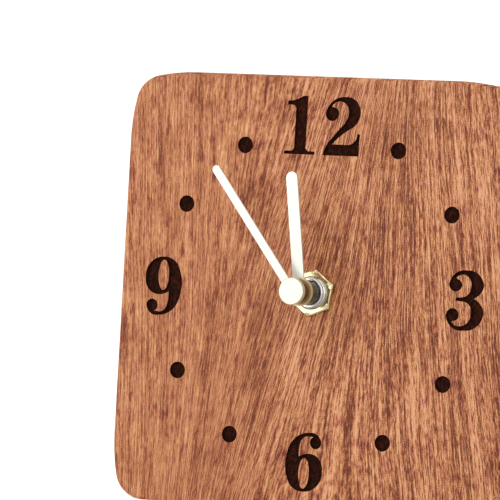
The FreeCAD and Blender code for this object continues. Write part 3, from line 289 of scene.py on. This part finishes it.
class Finish(Tree):
    """One material: its nodes and the shader that they end in."""

    def __init__(self, name, **constants):
        self.material = bpy.data.materials.new(name)
        self.material.use_nodes = True
        super().__init__(self.material.node_tree)
        self.shader = self.principled(constants)
        self.result = self.add("ShaderNodeOutputMaterial", {},
                               {"Surface": self.shader.outputs[0]})

    def principled(self, constants):
        """A surface shader, with constants such as coat_weight=0.4 on its sockets."""
        values = {socket.replace("_", " ").title().replace("Ior", "IOR"): value
                  for socket, value in constants.items()}
        return self.add("ShaderNodeBsdfPrincipled", {}, values)

    def set(self, socket, value):
        """Set or feed one socket of the shader."""
        self.feed(self.shader.inputs[socket], value)

    def overlay(self, amount, **constants):
        """Cover the surface by an amount with a second shader."""
        second = self.principled(constants)
        mix = self.add("ShaderNodeMixShader", {},
                       {0: amount, 1: self.shader.outputs[0], 2: second.outputs[0]})
        self.feed(self.result.inputs["Surface"], mix.outputs[0])
        return second

    def place(self):
        """Where a point lies in the dial's frame in millimetres: across, up and out."""
        point = self.add("ShaderNodeTexCoord").outputs["Object"]
        point = self.add("ShaderNodeVectorMath", {"operation": "SUBTRACT"},
                         {0: point, 1: HUB}).outputs[0]
        return [Signal(self, self.add("ShaderNodeVectorMath", {"operation": "DOT_PRODUCT"},
                                      {0: point, 1: axis}).outputs["Value"]) * PER_METRE
                for axis in (ACROSS, UP, OUT)]

    def noise(self, across, up, out, detail=2.0, roughness=0.5):
        """Soft noise whose grain is about one unit wide."""
        point = self.add("ShaderNodeCombineXYZ", {}, {0: across, 1: up, 2: out})
        node = self.add("ShaderNodeTexNoise", {"noise_dimensions": "3D"},
                        {"Vector": point.outputs[0], "Scale": 1.0, "Detail": detail,
                         "Roughness": roughness})
        return Signal(self, node.outputs[0])

    def blend(self, amount, first, second, kind="MIX"):
        """Two colours mixed by an amount."""
        node = self.add("ShaderNodeMix", {"data_type": "RGBA", "blend_type": kind},
                        {0: amount, 6: first, 7: second})
        return node.outputs[2]

    def relief(self, height, metres, strength):
        """Raise and lower the surface's look by a height of up to some metres."""
        node = self.add("ShaderNodeBump", {}, {"Height": height, "Distance": metres,
                                               "Strength": strength})
        self.set("Normal", node.outputs[0])
        return node.outputs[0]


def scaled(shade, amount):
    return tuple(amount * part for part in shade)


def from_axis(across, up):
    """How far a point lies from the hands' axis."""
    return (across * across + up * up) ** 0.5


def dress(names, finish):
    """Give carried-over solids their finish."""
    for name in names:
        mesh = NODES[name].data
        mesh.materials.clear()
        mesh.materials.append(finish.material)


def soften(names, width):
    """Break the sharp edges of carried-over solids, so that they catch the light."""
    for name in names:
        weld = NODES[name].modifiers.new("weld", "WELD")
        weld.merge_threshold = WELD_REACH
        bevel = NODES[name].modifiers.new("bevel", "BEVEL")
        bevel.width = width
        bevel.segments = 2
        bevel.limit_method = "ANGLE"
        bevel.angle_limit = SHARP_ANGLE


class Wood(Finish):
    """Oiled reddish wood with short streaks along its grain, and char in the burnt marks.
    Places and sizes are millimetres in the dial's frame."""

    # The grain leans to the right in a band in the middle, which drifts to the right as it
    # rises, and otherwise a little to the left, more so towards the right side
    middle_lean = 0.32
    band_place = -6.0
    band_drift = 0.18
    band_width = 20.0
    left_lean = 0.05
    side_lean = 0.10
    right_side = (0.0, 42.0)
    line_steps = (5 / 6, 3 / 6, 1 / 6)

    # Broad marks: width, length, and where in the noise each one starts
    slow_wander = (34.0, 60.0, 0.0)
    quick_wander = (8.0, 22.0, 0.0)
    ribbon = (1.5, 60.0, 3.0)
    cloud = (10.0, 17.0, 9.0)
    blotch = (2.4, 5.0, 13.0)
    lens = (2.6, 9.0, 41.0)
    grit = (0.3, 0.3, 0.0)
    ash = (0.5, 0.9, 0.0)
    # Fine marks: the same, with width and length as shares of a streak's
    fleck = (0.5, 0.26, 0.0)
    streak = (1.0, 1.0, 0.0)
    thread = (0.75, 3.5, 5.0)
    pore = (0.7, 0.6, 31.0)
    hue = (1.0, 0.6, 17.0)

    # How far the two kinds of wander shift the grain
    slow_shift = 3.0
    quick_shift = 0.9
    # Growth rings about a heart that lies behind the slab and to the left
    ring_heart = (-20.0, -70.0)
    ring_gap = 2.4
    ring_length = 95.0

    # Where the face, its stronger right part and the slab's upper end begin and are full
    face_depth = (-9.0, -1.0)
    stronger_part = (-35.0, 25.0)
    upper_end = (53.6, 54.8)

    # The noise at which a mark begins and at which it is full
    thread_edge = (0.36, 0.64)
    pore_edge = (0.56, 0.66)
    lens_edge = (0.56, 0.68)
    blotch_edge = (0.54, 0.68)
    hue_edge = (0.34, 0.66)
    ash_edge = (0.35, 0.8)

    # How far each mark moves the tone
    fleck_weight = 1.0
    streak_weight = 0.8
    thread_weight = 0.34
    grit_weight = 0.45
    pore_weight = 0.20
    cloud_weight = 0.38
    lens_weight = 0.08
    blotch_weight = 0.14
    reddish_weight = 0.07
    grey_weight = 0.12
    # The weight of all fine marks, of the ribbons and of the rings, and what the stronger
    # right part and the upper end add to it or take from it
    fine_weight = 0.64
    fine_right = 0.44
    fine_end = 0.3
    ribbon_weight = 0.45
    ribbon_right = 0.5
    ring_weight = 0.25
    ring_end = 0.5

    # Middle and width of the reddish part
    reddish_across = (17.0, 15.0)
    reddish_up = (8.0, 24.0)
    # One greyer streak runs down from the dot at one o'clock: its middle and width, and
    # where it fades at its lower and its upper end
    grey_across = (22.2, 0.9)
    grey_foot = (0.0, 14.0)
    grey_head = (38.0, 34.0)

    # The ramp from dark to pale wood, and the tone that all marks start from
    ramp = (0.10, 0.32, 0.50, 0.68, 0.88)
    middle_tone = 0.56
    # How pink the hues are, what a lens takes from that and what a blotch adds
    hue_pink = 0.75
    lens_pink = 0.6
    blotch_pink = 0.7

    # How the marks change the gloss and the surface's look
    gloss_swing = 0.22
    streak_relief = 0.6
    pore_relief = 0.8
    relief_metres = 0.00008
    relief_strength = 0.5

    # Burnt wood lies below the face, above the slab's inside, within the slab's edge and
    # outside the hub: where each begins and is full
    below_face = (-0.03, -0.22)
    above_inside = (-1.3, -1.1)
    within_edge = (52.8, 52.3)
    outside_hub = (9.0, 10.0)
    ash_share = 0.4

    def __init__(self, look):
        super().__init__("oiled_wood", specular_ior_level=0.22)
        self.look = look
        self.width = look.streak_width * PER_METRE
        self.run = look.streak_length * PER_METRE
        self.across, self.up, self.out = self.place()
        self.wander = (self.mark(self.slow_wander, self.across).swing(self.slow_shift)
                       + self.mark(self.quick_wander, self.across).swing(self.quick_shift))
        self.line = self.grain_line() + self.wander
        self.face = self.out.between(*self.face_depth)
        self.right = self.across.between(*self.stronger_part) * self.face
        self.end = self.up.between(*self.upper_end)
        self.streaks = self.fine_mark(self.streak, roughness=0.6)
        self.pores = self.pore_marks()
        self.lenses = self.mark(self.lens, self.line, detail=1.0).between(*self.lens_edge)
        self.blotches = self.mark(self.blotch, self.line).between(*self.blotch_edge)
        self.paint(self.fine_tone() + self.broad_tone() + self.patches() * self.face)
        self.set("Roughness", look.gloss + self.streaks.swing(self.gloss_swing))
        self.burn()

    def mark(self, shape, base, **kind):
        """Noise stretched along the slab, of a width, a length and a start."""
        width, run, start = shape
        return self.noise(base / width + start, self.up / run, self.out / width, **kind)

    def fine_mark(self, shape, **kind):
        """Noise along the grain, its width and length given as shares of a streak's."""
        width, run, start = shape
        return self.mark((width * self.width, run * self.run, start), self.line, **kind)

    def pore_marks(self):
        """Pores, which reach a little deeper than they are wide."""
        width, run, start = self.pore
        pores = self.noise(self.line / (width * self.width) + start,
                           self.up / (run * self.run), self.out / self.width, detail=0.0)
        return pores.between(*self.pore_edge)

    def grain_line(self):
        """Where the grain through a point crosses the level of the hub."""
        line = self.across
        for part in self.line_steps:
            band = self.up * part * self.band_drift + self.band_place
            lean = (line.bell(band, self.band_width) * self.middle_lean - self.left_lean
                    - line.between(*self.right_side) * self.side_lean)
            line = line - lean * self.up / len(self.line_steps)
        return line

    def fine_tone(self):
        """The tone with its flecks, streaks, threads, grit and pores."""
        flecks = self.fine_mark(self.fleck, detail=1.0)
        threads = self.fine_mark(self.thread, detail=1.0).between(*self.thread_edge)
        grit = self.mark(self.grit, self.across, detail=0.0)
        fine = (flecks.swing(self.fleck_weight) + self.streaks.swing(self.streak_weight)
                + threads.swing(self.thread_weight) + grit.swing(self.grit_weight)
                - self.pores * self.pore_weight)
        weight = self.fine_weight + self.right * self.fine_right - self.end * self.fine_end
        return self.middle_tone + fine * weight

    def broad_tone(self):
        """Ribbons, growth rings and clouds."""
        ribbons = self.mark(self.ribbon, self.line)
        heart_across, heart_out = self.ring_heart
        off_across = self.across - heart_across
        off_out = self.out - heart_out
        ring = (off_across ** 2.0 + off_out ** 2.0) ** 0.5 + self.wander
        rings = self.noise(ring / self.ring_gap, self.up / self.ring_length, 0.0,
                           detail=3.0, roughness=0.6)
        clouds = self.mark(self.cloud, self.across)
        return (ribbons.swing(self.ribbon_weight + self.right * self.ribbon_right)
                + rings.swing(self.ring_weight + self.end * self.ring_end)
                + clouds.swing(self.cloud_weight))

    def patches(self):
        """Paler lenses, darker blotches, the reddish part and the one greyer streak."""
        reddish = self.across.bell(*self.reddish_across) * self.up.bell(*self.reddish_up)
        grey = (self.across.bell(*self.grey_across) * self.up.between(*self.grey_foot)
                * self.up.between(*self.grey_head))
        return (self.lenses * self.lens_weight - self.blotches * self.blotch_weight
                - reddish * self.reddish_weight - grey * self.grey_weight)

    def paint(self, tone):
        """Give each tone its colour, some of it tan and some pink."""
        look = self.look
        shades = (look.dark, look.deep, look.middle, look.light, look.pale)
        grain = tone.shades(list(zip(self.ramp, shades)))
        hues = self.fine_mark(self.hue).between(*self.hue_edge)
        pink = (hues * (self.hue_pink - self.lenses * self.lens_pink)
                + self.blotches * self.blotch_pink)
        tint = self.blend(pink, look.tan_tint, look.pink_tint)
        self.set("Base Color", self.blend(1.0, grain, tint, "MULTIPLY"))

    def burn(self):
        """Char the burnt marks, with some ash in them."""
        from_hub = from_axis(self.across, self.up)
        burnt = (self.out.between(*self.below_face) * self.out.between(*self.above_inside)
                 * from_hub.between(*self.within_edge) * from_hub.between(*self.outside_hub))
        ash = self.mark(self.ash, self.across, detail=3.0)
        height = (self.streaks * self.streak_relief - self.pores * self.pore_relief
                  + ash * burnt)
        normal = self.relief(height, self.relief_metres, self.relief_strength)
        char = self.overlay(burnt, roughness=0.9, specular_ior_level=0.06)
        self.feed(char.inputs["Base Color"],
                  self.blend(ash.between(*self.ash_edge) * self.ash_share, self.look.char,
                             self.look.dark))
        self.feed(char.inputs["Normal"], normal)


def brushed(name, shade, roughness, scratch, depth=0.00001, zones=(), metallic=1.0):
    """Metal with scratches of a size across, up and out, slight stains, and rings of other
    colours about the hub, each given by its two radii and its colour, in millimetres."""
    stain_size = 2.5
    stain_share = 0.5
    dark_factor = 0.94
    soft_edge = 0.05
    line_gloss = 0.12
    stain_gloss = 0.06
    line_strength = 0.4
    finish = Finish(name, metallic=metallic)
    across, up, out = finish.place()
    lines = finish.noise(across / scratch[0], up / scratch[1], out / scratch[2],
                         roughness=0.6)
    stain = finish.noise(across / stain_size, up / stain_size, out / stain_size, detail=3.0)
    tone = finish.blend(stain.between(*METAL_EDGE) * stain_share, tuple(shade),
                        scaled(shade, dark_factor))
    for low, high, other in zones:
        radius = from_axis(across, up)
        inside = (radius.between(low - soft_edge, low + soft_edge)
                  * radius.between(high + soft_edge, high - soft_edge))
        tone = finish.blend(inside, tone, other)
    finish.set("Base Color", tone)
    finish.set("Roughness", roughness + lines.swing(line_gloss) + stain.swing(stain_gloss))
    finish.relief(lines, depth, line_strength)
    return finish


def turned(name, shade, roughness, ring_gap=0.14):
    """Metal turned on a lathe about the hands' axis: rings on its faces and flanks."""
    stain_size = 2.0
    stain_share = 0.2
    ring_share = 0.5
    dark_factor = 0.72
    stain_gloss = 0.1
    ring_metres = 0.00002
    ring_strength = 0.5
    finish = Finish(name, metallic=1.0)
    across, up, out = finish.place()
    rings = finish.noise(from_axis(across, up) / ring_gap, out / ring_gap, 0.0, detail=1.0)
    stain = finish.noise(across / stain_size, up / stain_size, out / stain_size, detail=3.0)
    dark_amount = rings.between(*METAL_EDGE) * ring_share + stain * stain_share
    finish.set("Base Color", finish.blend(dark_amount, tuple(shade), scaled(shade, dark_factor)))
    finish.set("Roughness", roughness + stain.swing(stain_gloss))
    finish.relief(rings, ring_metres, ring_strength)
    return finish


def bush_finish(look):
    """Plated steel with turned rings on its mouth and a thread round its flank, with painted shade
    darkening the thread's valleys.
    """
    ring_gap = 0.18
    ring_edge = (0.4, 0.7)
    ring_share = 0.25
    flank_radii = (3.90, 3.94)
    valley_edge = (0.2, -0.8)
    valley_shade_share = 0.8
    dark_factor = 0.38
    roughness = 0.22
    valley_gloss = 0.25
    crest_relief = 4.0
    relief_metres = 0.00004
    relief_strength = 0.6
    finish = Finish("plated_steel", metallic=1.0)
    across, up, out = finish.place()
    radius = from_axis(across, up)
    turn = up.sum("ARCTAN2", up, across) / math.tau
    crest = (out / look.thread_pitch / PER_METRE + turn).wave(1.0)
    flank = radius.between(*flank_radii)
    rings = finish.noise(radius / ring_gap, out / ring_gap, 0.0, detail=1.0)
    valley = flank * crest.between(*valley_edge)
    # Painted shade: the colour darkens in the thread's valleys; the rings are turning marks
    dark_amount = valley * valley_shade_share + rings.between(*ring_edge) * ring_share
    finish.set("Base Color", finish.blend(dark_amount, look.bush, scaled(look.bush, dark_factor)))
    finish.set("Roughness", roughness + valley * valley_gloss)
    finish.relief(crest * flank * crest_relief + rings, relief_metres, relief_strength)
    return finish


def moulded(name, shade, roughness, grain=0.28, **more):
    """Plastic or rubber with a fine moulded grain and slightly uneven gloss."""
    cloud_size = 6.0
    cloud_edge = (0.3, 0.75)
    cloud_gloss = 0.18
    speckle_gloss = 0.1
    brighter = 1.25
    lift = 0.004
    speckle_metres = 0.00002
    speckle_strength = 0.6
    finish = Finish(name, **more)
    across, up, out = finish.place()
    speckle = finish.noise(across / grain, up / grain, out / grain, roughness=0.6)
    cloud = finish.noise(across / cloud_size, up / cloud_size, out / cloud_size, detail=3.0)
    lighter = tuple(min(1.0, brighter * part + lift) for part in shade)
    finish.set("Base Color", finish.blend(cloud.between(*cloud_edge), tuple(shade), lighter))
    finish.set("Roughness",
               roughness + cloud.swing(cloud_gloss) + speckle.swing(speckle_gloss))
    finish.relief(speckle, speckle_metres, speckle_strength)
    return finish


class ClockStep(bpy.types.Operator):
    """A step that dresses part of the clock."""
    bl_options = {"REGISTER"}


class CLOCK_OT_wood(ClockStep):
    """Dress the slab in oiled wood with burnt numerals"""
    bl_idname = "clock.wood"
    bl_label = "Wood"

    def execute(self, context):
        dress(["wood_body"], Wood(context.scene.clock_wood))
        return {"FINISHED"}


class CLOCK_OT_hands(ClockStep):
    """Dress the hands, their cap and their collets"""
    bl_idname = "clock.hands"
    bl_label = "Hands"

    # size of the scratches across, up and out in millimetres
    scratch = (0.12, 2.5, 0.12)

    def execute(self, context):
        look = context.scene.clock_metal
        rim = look.rim_width * PER_METRE
        cap = self.reach("minute_hand_cap")
        hub = self.reach("hour_hand")
        for name, zones in (
                ("minute_hand", []),
                # Painted shade on the cap's flank, in deeper gold
                ("minute_hand_cap", [(cap - 0.5 * rim, cap + rim, look.rim)]),
                # Painted shade in the hour hub's dish, and a painted golden reflection on its rim
                ("hour_hand", [(-rim, hub - rim, look.dish_shade), (hub - rim, hub, look.rim)])):
            dress([name], brushed("pale_gold_" + name, look.hands, roughness=0.30,
                                  scratch=self.scratch, zones=zones,
                                  metallic=look.hand_metal))
        # The minute collet's golden brown is partly painted shade
        dress(["minute_hand_collet"],
              turned("shaded_golden_brown", look.minute_collet, roughness=0.22))
        # The hour collet's near black is painted shade
        dress(["hour_hand_collet"],
              turned("shaded_dark_metal", look.hour_collet, roughness=0.30))
        soften(["hour_hand", "minute_hand", "minute_hand_cap"], look.fine_edge)
        return {"FINISHED"}

    def reach(self, name):
        """How far a piece goes below the hub, in millimetres."""
        return PER_METRE * max((HUB - corner.co).dot(UP) for corner in NODES[name].data.vertices)


class CLOCK_OT_hub(ClockStep):
    """Dress the threaded bush and the gasket"""
    bl_idname = "clock.hub"
    bl_label = "Hub"

    def execute(self, context):
        look = context.scene.clock_metal
        dress(["threaded_bush"], bush_finish(look))
        dress(["rubber_gasket"],
              moulded("black_rubber", context.scene.clock_moulding.rubber, roughness=0.8,
                      grain=0.2))
        return {"FINISHED"}


class CLOCK_OT_nut(ClockStep):
    """Build the hex nut with its chamfered corners and its rounded bright edge"""
    bl_idname = "clock.nut"
    bl_label = "Nut"

    # angles in degrees
    side_turn = 60
    step = 3
    chamfer = 30
    # how far the middle of the rounded edge stands back, as a share of the edge
    shoulder = 0.3

    def execute(self, context):
        look = context.scene.clock_metal
        corners = [DIAL_FRAME.inverted() @ corner.co * PER_METRE
                   for corner in NODES["hex_nut"].data.vertices]
        tip = max(corners, key=lambda corner: corner.xy.length)
        half = tip.xy.length * math.cos(math.radians(self.side_turn / 2))
        bore = min(corner.xy.length for corner in corners)
        low = min(corner.z for corner in corners)
        top = max(corner.z for corner in corners)
        first = math.degrees(math.atan2(tip.y, tip.x))
        mesh = bmesh.new()
        rows = []
        for angle in range(0, 360, self.step):
            off_flat = angle % self.side_turn - self.side_turn / 2
            side = half / math.cos(math.radians(off_flat))
            turn = math.radians(first + angle)
            rows.append([mesh.verts.new((reach * math.cos(turn) * MM, reach * math.sin(turn) * MM,
                                         level * MM))
                         for reach, level in self.section(look, side, half, bore, low, top)])
        for row, after in zip(rows, rows[1:] + rows[:1]):
            for place in range(len(row)):
                beyond = (place + 1) % len(row)
                mesh.faces.new((row[place], row[beyond], after[beyond], after[place]))
        bmesh.ops.remove_doubles(mesh, verts=mesh.verts, dist=WELD_REACH)
        finish = turned("pale_brass", look.nut, roughness=0.16, ring_gap=0.2)
        piece = finished_piece("dressed_nut", mesh, finish.material, "clock")
        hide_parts("hex_nut")
        return {"FINISHED"}

    def section(self, look, side, half, bore, low, top):
        """The nut's cut at one angle: reach and level of its points in millimetres."""
        edge = look.nut_edge * PER_METRE
        lip = look.nut_lip * PER_METRE
        fall = math.tan(math.radians(self.chamfer))
        crown = top - max(0.0, side - half) * fall
        brow = top - max(0.0, side - edge - half) * fall
        back = self.shoulder * edge
        return [(side, low), (side, crown - edge), (side - back, crown - back),
                (side - edge, brow), (half - edge, top), (bore + lip, top), (bore, top - lip),
                (bore, low)]


class CLOCK_OT_movement(ClockStep):
    """Dress the case, the wheels, the coil and the board"""
    bl_idname = "clock.movement"
    bl_label = "Movement"

    # size of the scratches across, up and out in millimetres
    rolled = (2.0, 0.1, 2.0)
    drawn = (0.1, 1.0, 0.1)
    wound = (0.12, 3.0, 3.0)
    wire_depth = 0.00006

    def execute(self, context):
        metal = context.scene.clock_metal
        look = context.scene.clock_moulding
        dress(["front_case", "rear_cover", "setting_knob"],
              moulded("black_plastic", look.black, roughness=0.52))
        dress(["hour_wheel"], moulded("brown_plastic", look.brown, roughness=0.4))
        dress(["train_bridge"], moulded("grey_plastic", look.grey, roughness=0.5))
        dress(["coil_bobbin", "minute_arbor", "minute_wheel", "centre_wheel", "third_wheel",
               "seconds_wheel", "intermediate_wheel", "rotor_pinion"],
              moulded("white_plastic", look.white, roughness=0.42, subsurface_weight=0.1))
        dress(["circuit_board"],
              moulded("green_lacquer", look.board, roughness=0.3, grain=0.5))
        dress(["chip_blob"], moulded("black_resin", look.chip, roughness=0.15, grain=0.8))
        dress(["rotor_magnet"], moulded("ferrite", look.magnet, roughness=0.6, grain=0.1))
        dress(["stator_plate", "coil_core"],
              brushed("soft_iron", metal.stator, roughness=0.42, scratch=self.rolled))
        dress(["core_screws", "clutch_spring", "quartz_crystal"],
              brushed("bright_steel", metal.steel, roughness=0.28, scratch=self.drawn))
        dress(["coil_winding"],
              brushed("enamelled_wire", metal.copper, roughness=0.3, scratch=self.wound,
                      depth=self.wire_depth))
        return {"FINISHED"}


class CLOCK_OT_battery(ClockStep):
    """Dress the cell, its sleeve and the contacts"""
    bl_idname = "clock.battery"
    bl_label = "Battery"

    # size of scratches, creases and dust across, up and out in millimetres
    pressed = (0.1, 1.5, 0.1)
    spun = (0.8, 0.06, 0.06)
    crease = (5.0, 0.8, 0.8)
    dust_size = 3.0
    # where the band begins and is full, and the width of the grey line at its edge
    band_edge = (12.0, 12.06)
    line_width = 0.35
    line_grey = (0.55, 0.55, 0.55)
    dust_grey = (0.3, 0.3, 0.3)
    dust_edge = (0.45, 0.9)
    dust_share = 0.12
    dust_gloss = 0.12
    roughness = 0.2
    band_metal = 0.75
    crease_metres = 0.00004
    crease_strength = 0.5

    def execute(self, context):
        metal = context.scene.clock_metal
        look = context.scene.clock_moulding
        dress(["contact_positive", "contact_negative"],
              brushed("nickel_plate", metal.nickel, roughness=0.26, scratch=self.pressed))
        dress(["battery_cell"],
              brushed("bright_can", metal.can, roughness=0.24, scratch=self.spun))
        dress(["battery_sleeve"], self.sleeve_finish(look))
        return {"FINISHED"}

    def sleeve_finish(self, look):
        """A glossy sleeve with a band at one end, a grey line beside it and a little dust."""
        sleeve = Finish("shrink_sleeve", coat_weight=0.4, coat_roughness=0.12)
        across, up, out = sleeve.place()
        band = across.between(*self.band_edge)
        line = across.bell(self.band_edge[0], self.line_width)
        dust = sleeve.noise(across / self.dust_size, up / self.dust_size,
                            out / self.dust_size, detail=4.0)
        shade = sleeve.blend(band, look.sleeve, look.sleeve_band)
        shade = sleeve.blend(line, shade, self.line_grey)
        dusty = dust.between(*self.dust_edge) * self.dust_share
        sleeve.set("Base Color", sleeve.blend(dusty, shade, self.dust_grey))
        sleeve.set("Metallic", band * self.band_metal)
        sleeve.set("Roughness", self.roughness + dust * self.dust_gloss)
        creases = sleeve.noise(across / self.crease[0], up / self.crease[1],
                               out / self.crease[2], detail=1.0)
        sleeve.relief(creases, self.crease_metres, self.crease_strength)
        return sleeve


def prism(mesh, outline, low, high):
    """A straight-sided solid over a closed outline in the dial's frame."""
    rings = [[mesh.verts.new((x * MM, y * MM, level * MM)) for x, y in outline]
             for level in (low, high)]
    mesh.faces.new(reversed(rings[0]))
    mesh.faces.new(rings[1])
    for index in range(len(outline)):
        after = (index + 1) % len(outline)
        mesh.faces.new((rings[0][index], rings[0][after], rings[1][after], rings[1][index]))


def finished_piece(name, mesh, material, body):
    """Turn a mesh in the dial's frame into a piece that rides on a body."""
    data = bpy.data.meshes.new(name)
    bmesh.ops.recalc_face_normals(mesh, faces=mesh.faces)
    mesh.transform(DIAL_FRAME)
    mesh.to_mesh(data)
    mesh.free()
    data.materials.append(material)
    piece = bpy.data.objects.new(name, data)
    bpy.context.scene.collection.objects.link(piece)
    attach(piece, body)
    return piece


class CLOCK_OT_marks(ClockStep):
    """Mould the setting arrows and the plus and minus on the rear cover"""
    bl_idname = "clock.marks"
    bl_label = "Cover marks"

    # radii, levels and sizes in millimetres, seen in the dial's frame
    inner_radius = 8.3
    outer_radius = 8.9
    sweep = (25, 155)
    step = 5
    head_half = 1.1
    head_length = 16
    height = 0.25
    sunk = 0.05
    mark_across = 22.0
    mark_up = -6.5
    mark_half = 1.5
    bar_half = 0.3

    def execute(self, context):
        back = min(OUT.dot(corner.co - HUB) for corner in NODES["rear_cover"].data.vertices)
        back *= PER_METRE
        low = back - self.height
        high = back + self.sunk
        knob = next(joint for joint in frame["joints"] if joint["name"] == "setting_turn")
        offset = Vector(knob["pos_m"]) - HUB
        centre = (offset.dot(ACROSS) * PER_METRE, offset.dot(UP) * PER_METRE)
        mesh = bmesh.new()
        for turn in (0, 180):
            self.arrow(mesh, centre, turn, low, high)
        for side in (1, -1):
            x = side * self.mark_across
            prism(mesh, self.bar(x, self.mark_half, self.bar_half), low, high)
            if side > 0:
                for end in (1, -1):
                    prism(mesh, self.stub(x, end), low, high)
        # Painted sheen: a lighter grey on the raised marks
        shade = context.scene.clock_moulding.sheen_grey
        finish = moulded("sheen_painted_marks", shade, roughness=0.3)
        finished_piece("cover_marks", mesh, finish.material, "clock")
        return {"FINISHED"}

    def arrow(self, mesh, centre, turn, low, high):
        """A bent arrow that shows which way the knob is turned."""
        first, last = self.sweep
        angles = range(first + turn, last + turn + 1, self.step)
        middle = (self.inner_radius + self.outer_radius) / 2

        def at(radius, angle):
            return (centre[0] + radius * math.cos(math.radians(angle)),
                    centre[1] + radius * math.sin(math.radians(angle)))
        outline = [at(self.outer_radius, angle) for angle in angles]
        outline += [at(self.inner_radius, angle) for angle in reversed(angles)]
        prism(mesh, outline, low, high)
        end = last + turn
        prism(mesh, [at(middle - self.head_half, end), at(middle + self.head_half, end),
                     at(middle, end + self.head_length)], low, high)

    def bar(self, x, half, thin):
        return [(x - half, self.mark_up - thin), (x + half, self.mark_up - thin),
                (x + half, self.mark_up + thin), (x - half, self.mark_up + thin)]

    def stub(self, x, end):
        near = self.mark_up + end * self.bar_half
        far = self.mark_up + end * self.mark_half
        return [(x - self.bar_half, near), (x + self.bar_half, near),
                (x + self.bar_half, far), (x - self.bar_half, far)]


class CLOCK_OT_stage(ClockStep):
    """Lay the floor, hang the lamps and set up the camera"""
    bl_idname = "clock.stage"
    bl_label = "Stage"

    # the nearest and the farthest that the camera sees, in metres
    near_clip = 0.1
    far_clip = 50.0

    def execute(self, context):
        scene = context.scene
        look = scene.clock_stage
        self.lay_floor(look)
        self.light_world(scene, look)
        self.hang_lamp("key_light", look.key_place, look.key_size, look.key_power)
        self.hang_lamp("fill_light", look.fill_place, look.fill_size, look.fill_power)
        self.set_camera(scene, look)
        scene.view_settings.view_transform = "Standard"
        return {"FINISHED"}

    def lay_floor(self, look):
        half = look.floor_half
        data = bpy.data.meshes.new("floor")
        data.from_pydata([(-half, -half, 0), (half, -half, 0), (half, half, 0), (-half, half, 0)],
                         [], [(0, 1, 2, 3)])
        finish = Finish("pale_floor", base_color=look.floor_colour, roughness=0.8,
                        specular_ior_level=0.1, emission_strength=1.0)
        seen = finish.add("ShaderNodeLightPath").outputs["Is Camera Ray"]
        finish.set("Emission Color", finish.blend(seen, BLACK, look.floor_glow))
        data.materials.append(finish.material)
        floor = bpy.data.objects.new("floor", data)
        bpy.context.scene.collection.objects.link(floor)

    def light_world(self, scene, look):
        """Light of one plain level, and white where it is seen or mirrored."""
        scene.world = bpy.data.worlds.new("studio")
        scene.world.use_nodes = True
        sky = Tree(scene.world.node_tree)
        rays = sky.add("ShaderNodeLightPath").outputs
        seen = Signal(sky, rays["Is Camera Ray"])
        for kind in ("Is Glossy Ray", "Is Transmission Ray"):
            seen = seen.sum("MAXIMUM", seen, rays[kind])
        soft = sky.add("ShaderNodeBackground", {}, {"Color": WHITE, "Strength": look.ambient})
        white = sky.add("ShaderNodeBackground", {}, {"Color": WHITE, "Strength": 1.0})
        mix = sky.add("ShaderNodeMixShader", {}, {0: seen, 1: soft.outputs[0],
                                                  2: white.outputs[0]})
        sky.add("ShaderNodeOutputWorld", {}, {"Surface": mix.outputs[0]})

    def hang_lamp(self, name, place, size, power):
        data = bpy.data.lights.new(name, "AREA")
        data.shape = "SQUARE"
        data.size = size
        data.energy = power
        lamp = bpy.data.objects.new(name, data)
        bpy.context.scene.collection.objects.link(lamp)
        lamp.location = place
        lamp.rotation_euler = (HUB - Vector(place)).to_track_quat("-Z", "Y").to_euler()

    def set_camera(self, scene, look):
        data = bpy.data.cameras.new("camera")
        data.lens = look.camera_lens
        data.clip_start = self.near_clip
        data.clip_end = self.far_clip
        camera = bpy.data.objects.new("camera", data)
        scene.collection.objects.link(camera)
        camera.location = look.camera_place
        level = math.cos(look.camera_elevation)
        back = Vector((math.sin(look.camera_azimuth) * level,
                       -math.cos(look.camera_azimuth) * level,
                       math.sin(look.camera_elevation)))
        camera.rotation_euler = (-back).to_track_quat("-Z", "Y").to_euler()
        scene.camera = camera


STEPS = (CLOCK_OT_wood, CLOCK_OT_hands, CLOCK_OT_hub, CLOCK_OT_nut, CLOCK_OT_movement,
         CLOCK_OT_battery, CLOCK_OT_marks, CLOCK_OT_stage)


class CLOCK_PT_pieces(bpy.types.Panel):
    """Lists the steps that dress the clock"""
    bl_idname = "CLOCK_PT_pieces"
    bl_label = "Desk Clock"
    bl_space_type = "VIEW_3D"
    bl_region_type = "UI"
    bl_category = "Clock"

    def draw(self, context):
        for step in STEPS:
            self.layout.operator(step.bl_idname)


LOOKS = {"clock_wood": WoodLook, "clock_metal": MetalLook, "clock_moulding": MouldingLook,
         "clock_stage": StageLook}


def register():
    for kind in (*LOOKS.values(), *STEPS, CLOCK_PT_pieces):
        bpy.utils.register_class(kind)
    for name, kind in LOOKS.items():
        setattr(bpy.types.Scene, name, bpy.props.PointerProperty(type=kind))


def unregister():
    for name in LOOKS:
        delattr(bpy.types.Scene, name)
    for kind in reversed((*LOOKS.values(), *STEPS, CLOCK_PT_pieces)):
        bpy.utils.unregister_class(kind)


def main():
    register()
    for step in STEPS:
        group, name = step.bl_idname.split(".")
        getattr(getattr(bpy.ops, group), name)()


if __name__ == "__main__":
    main()
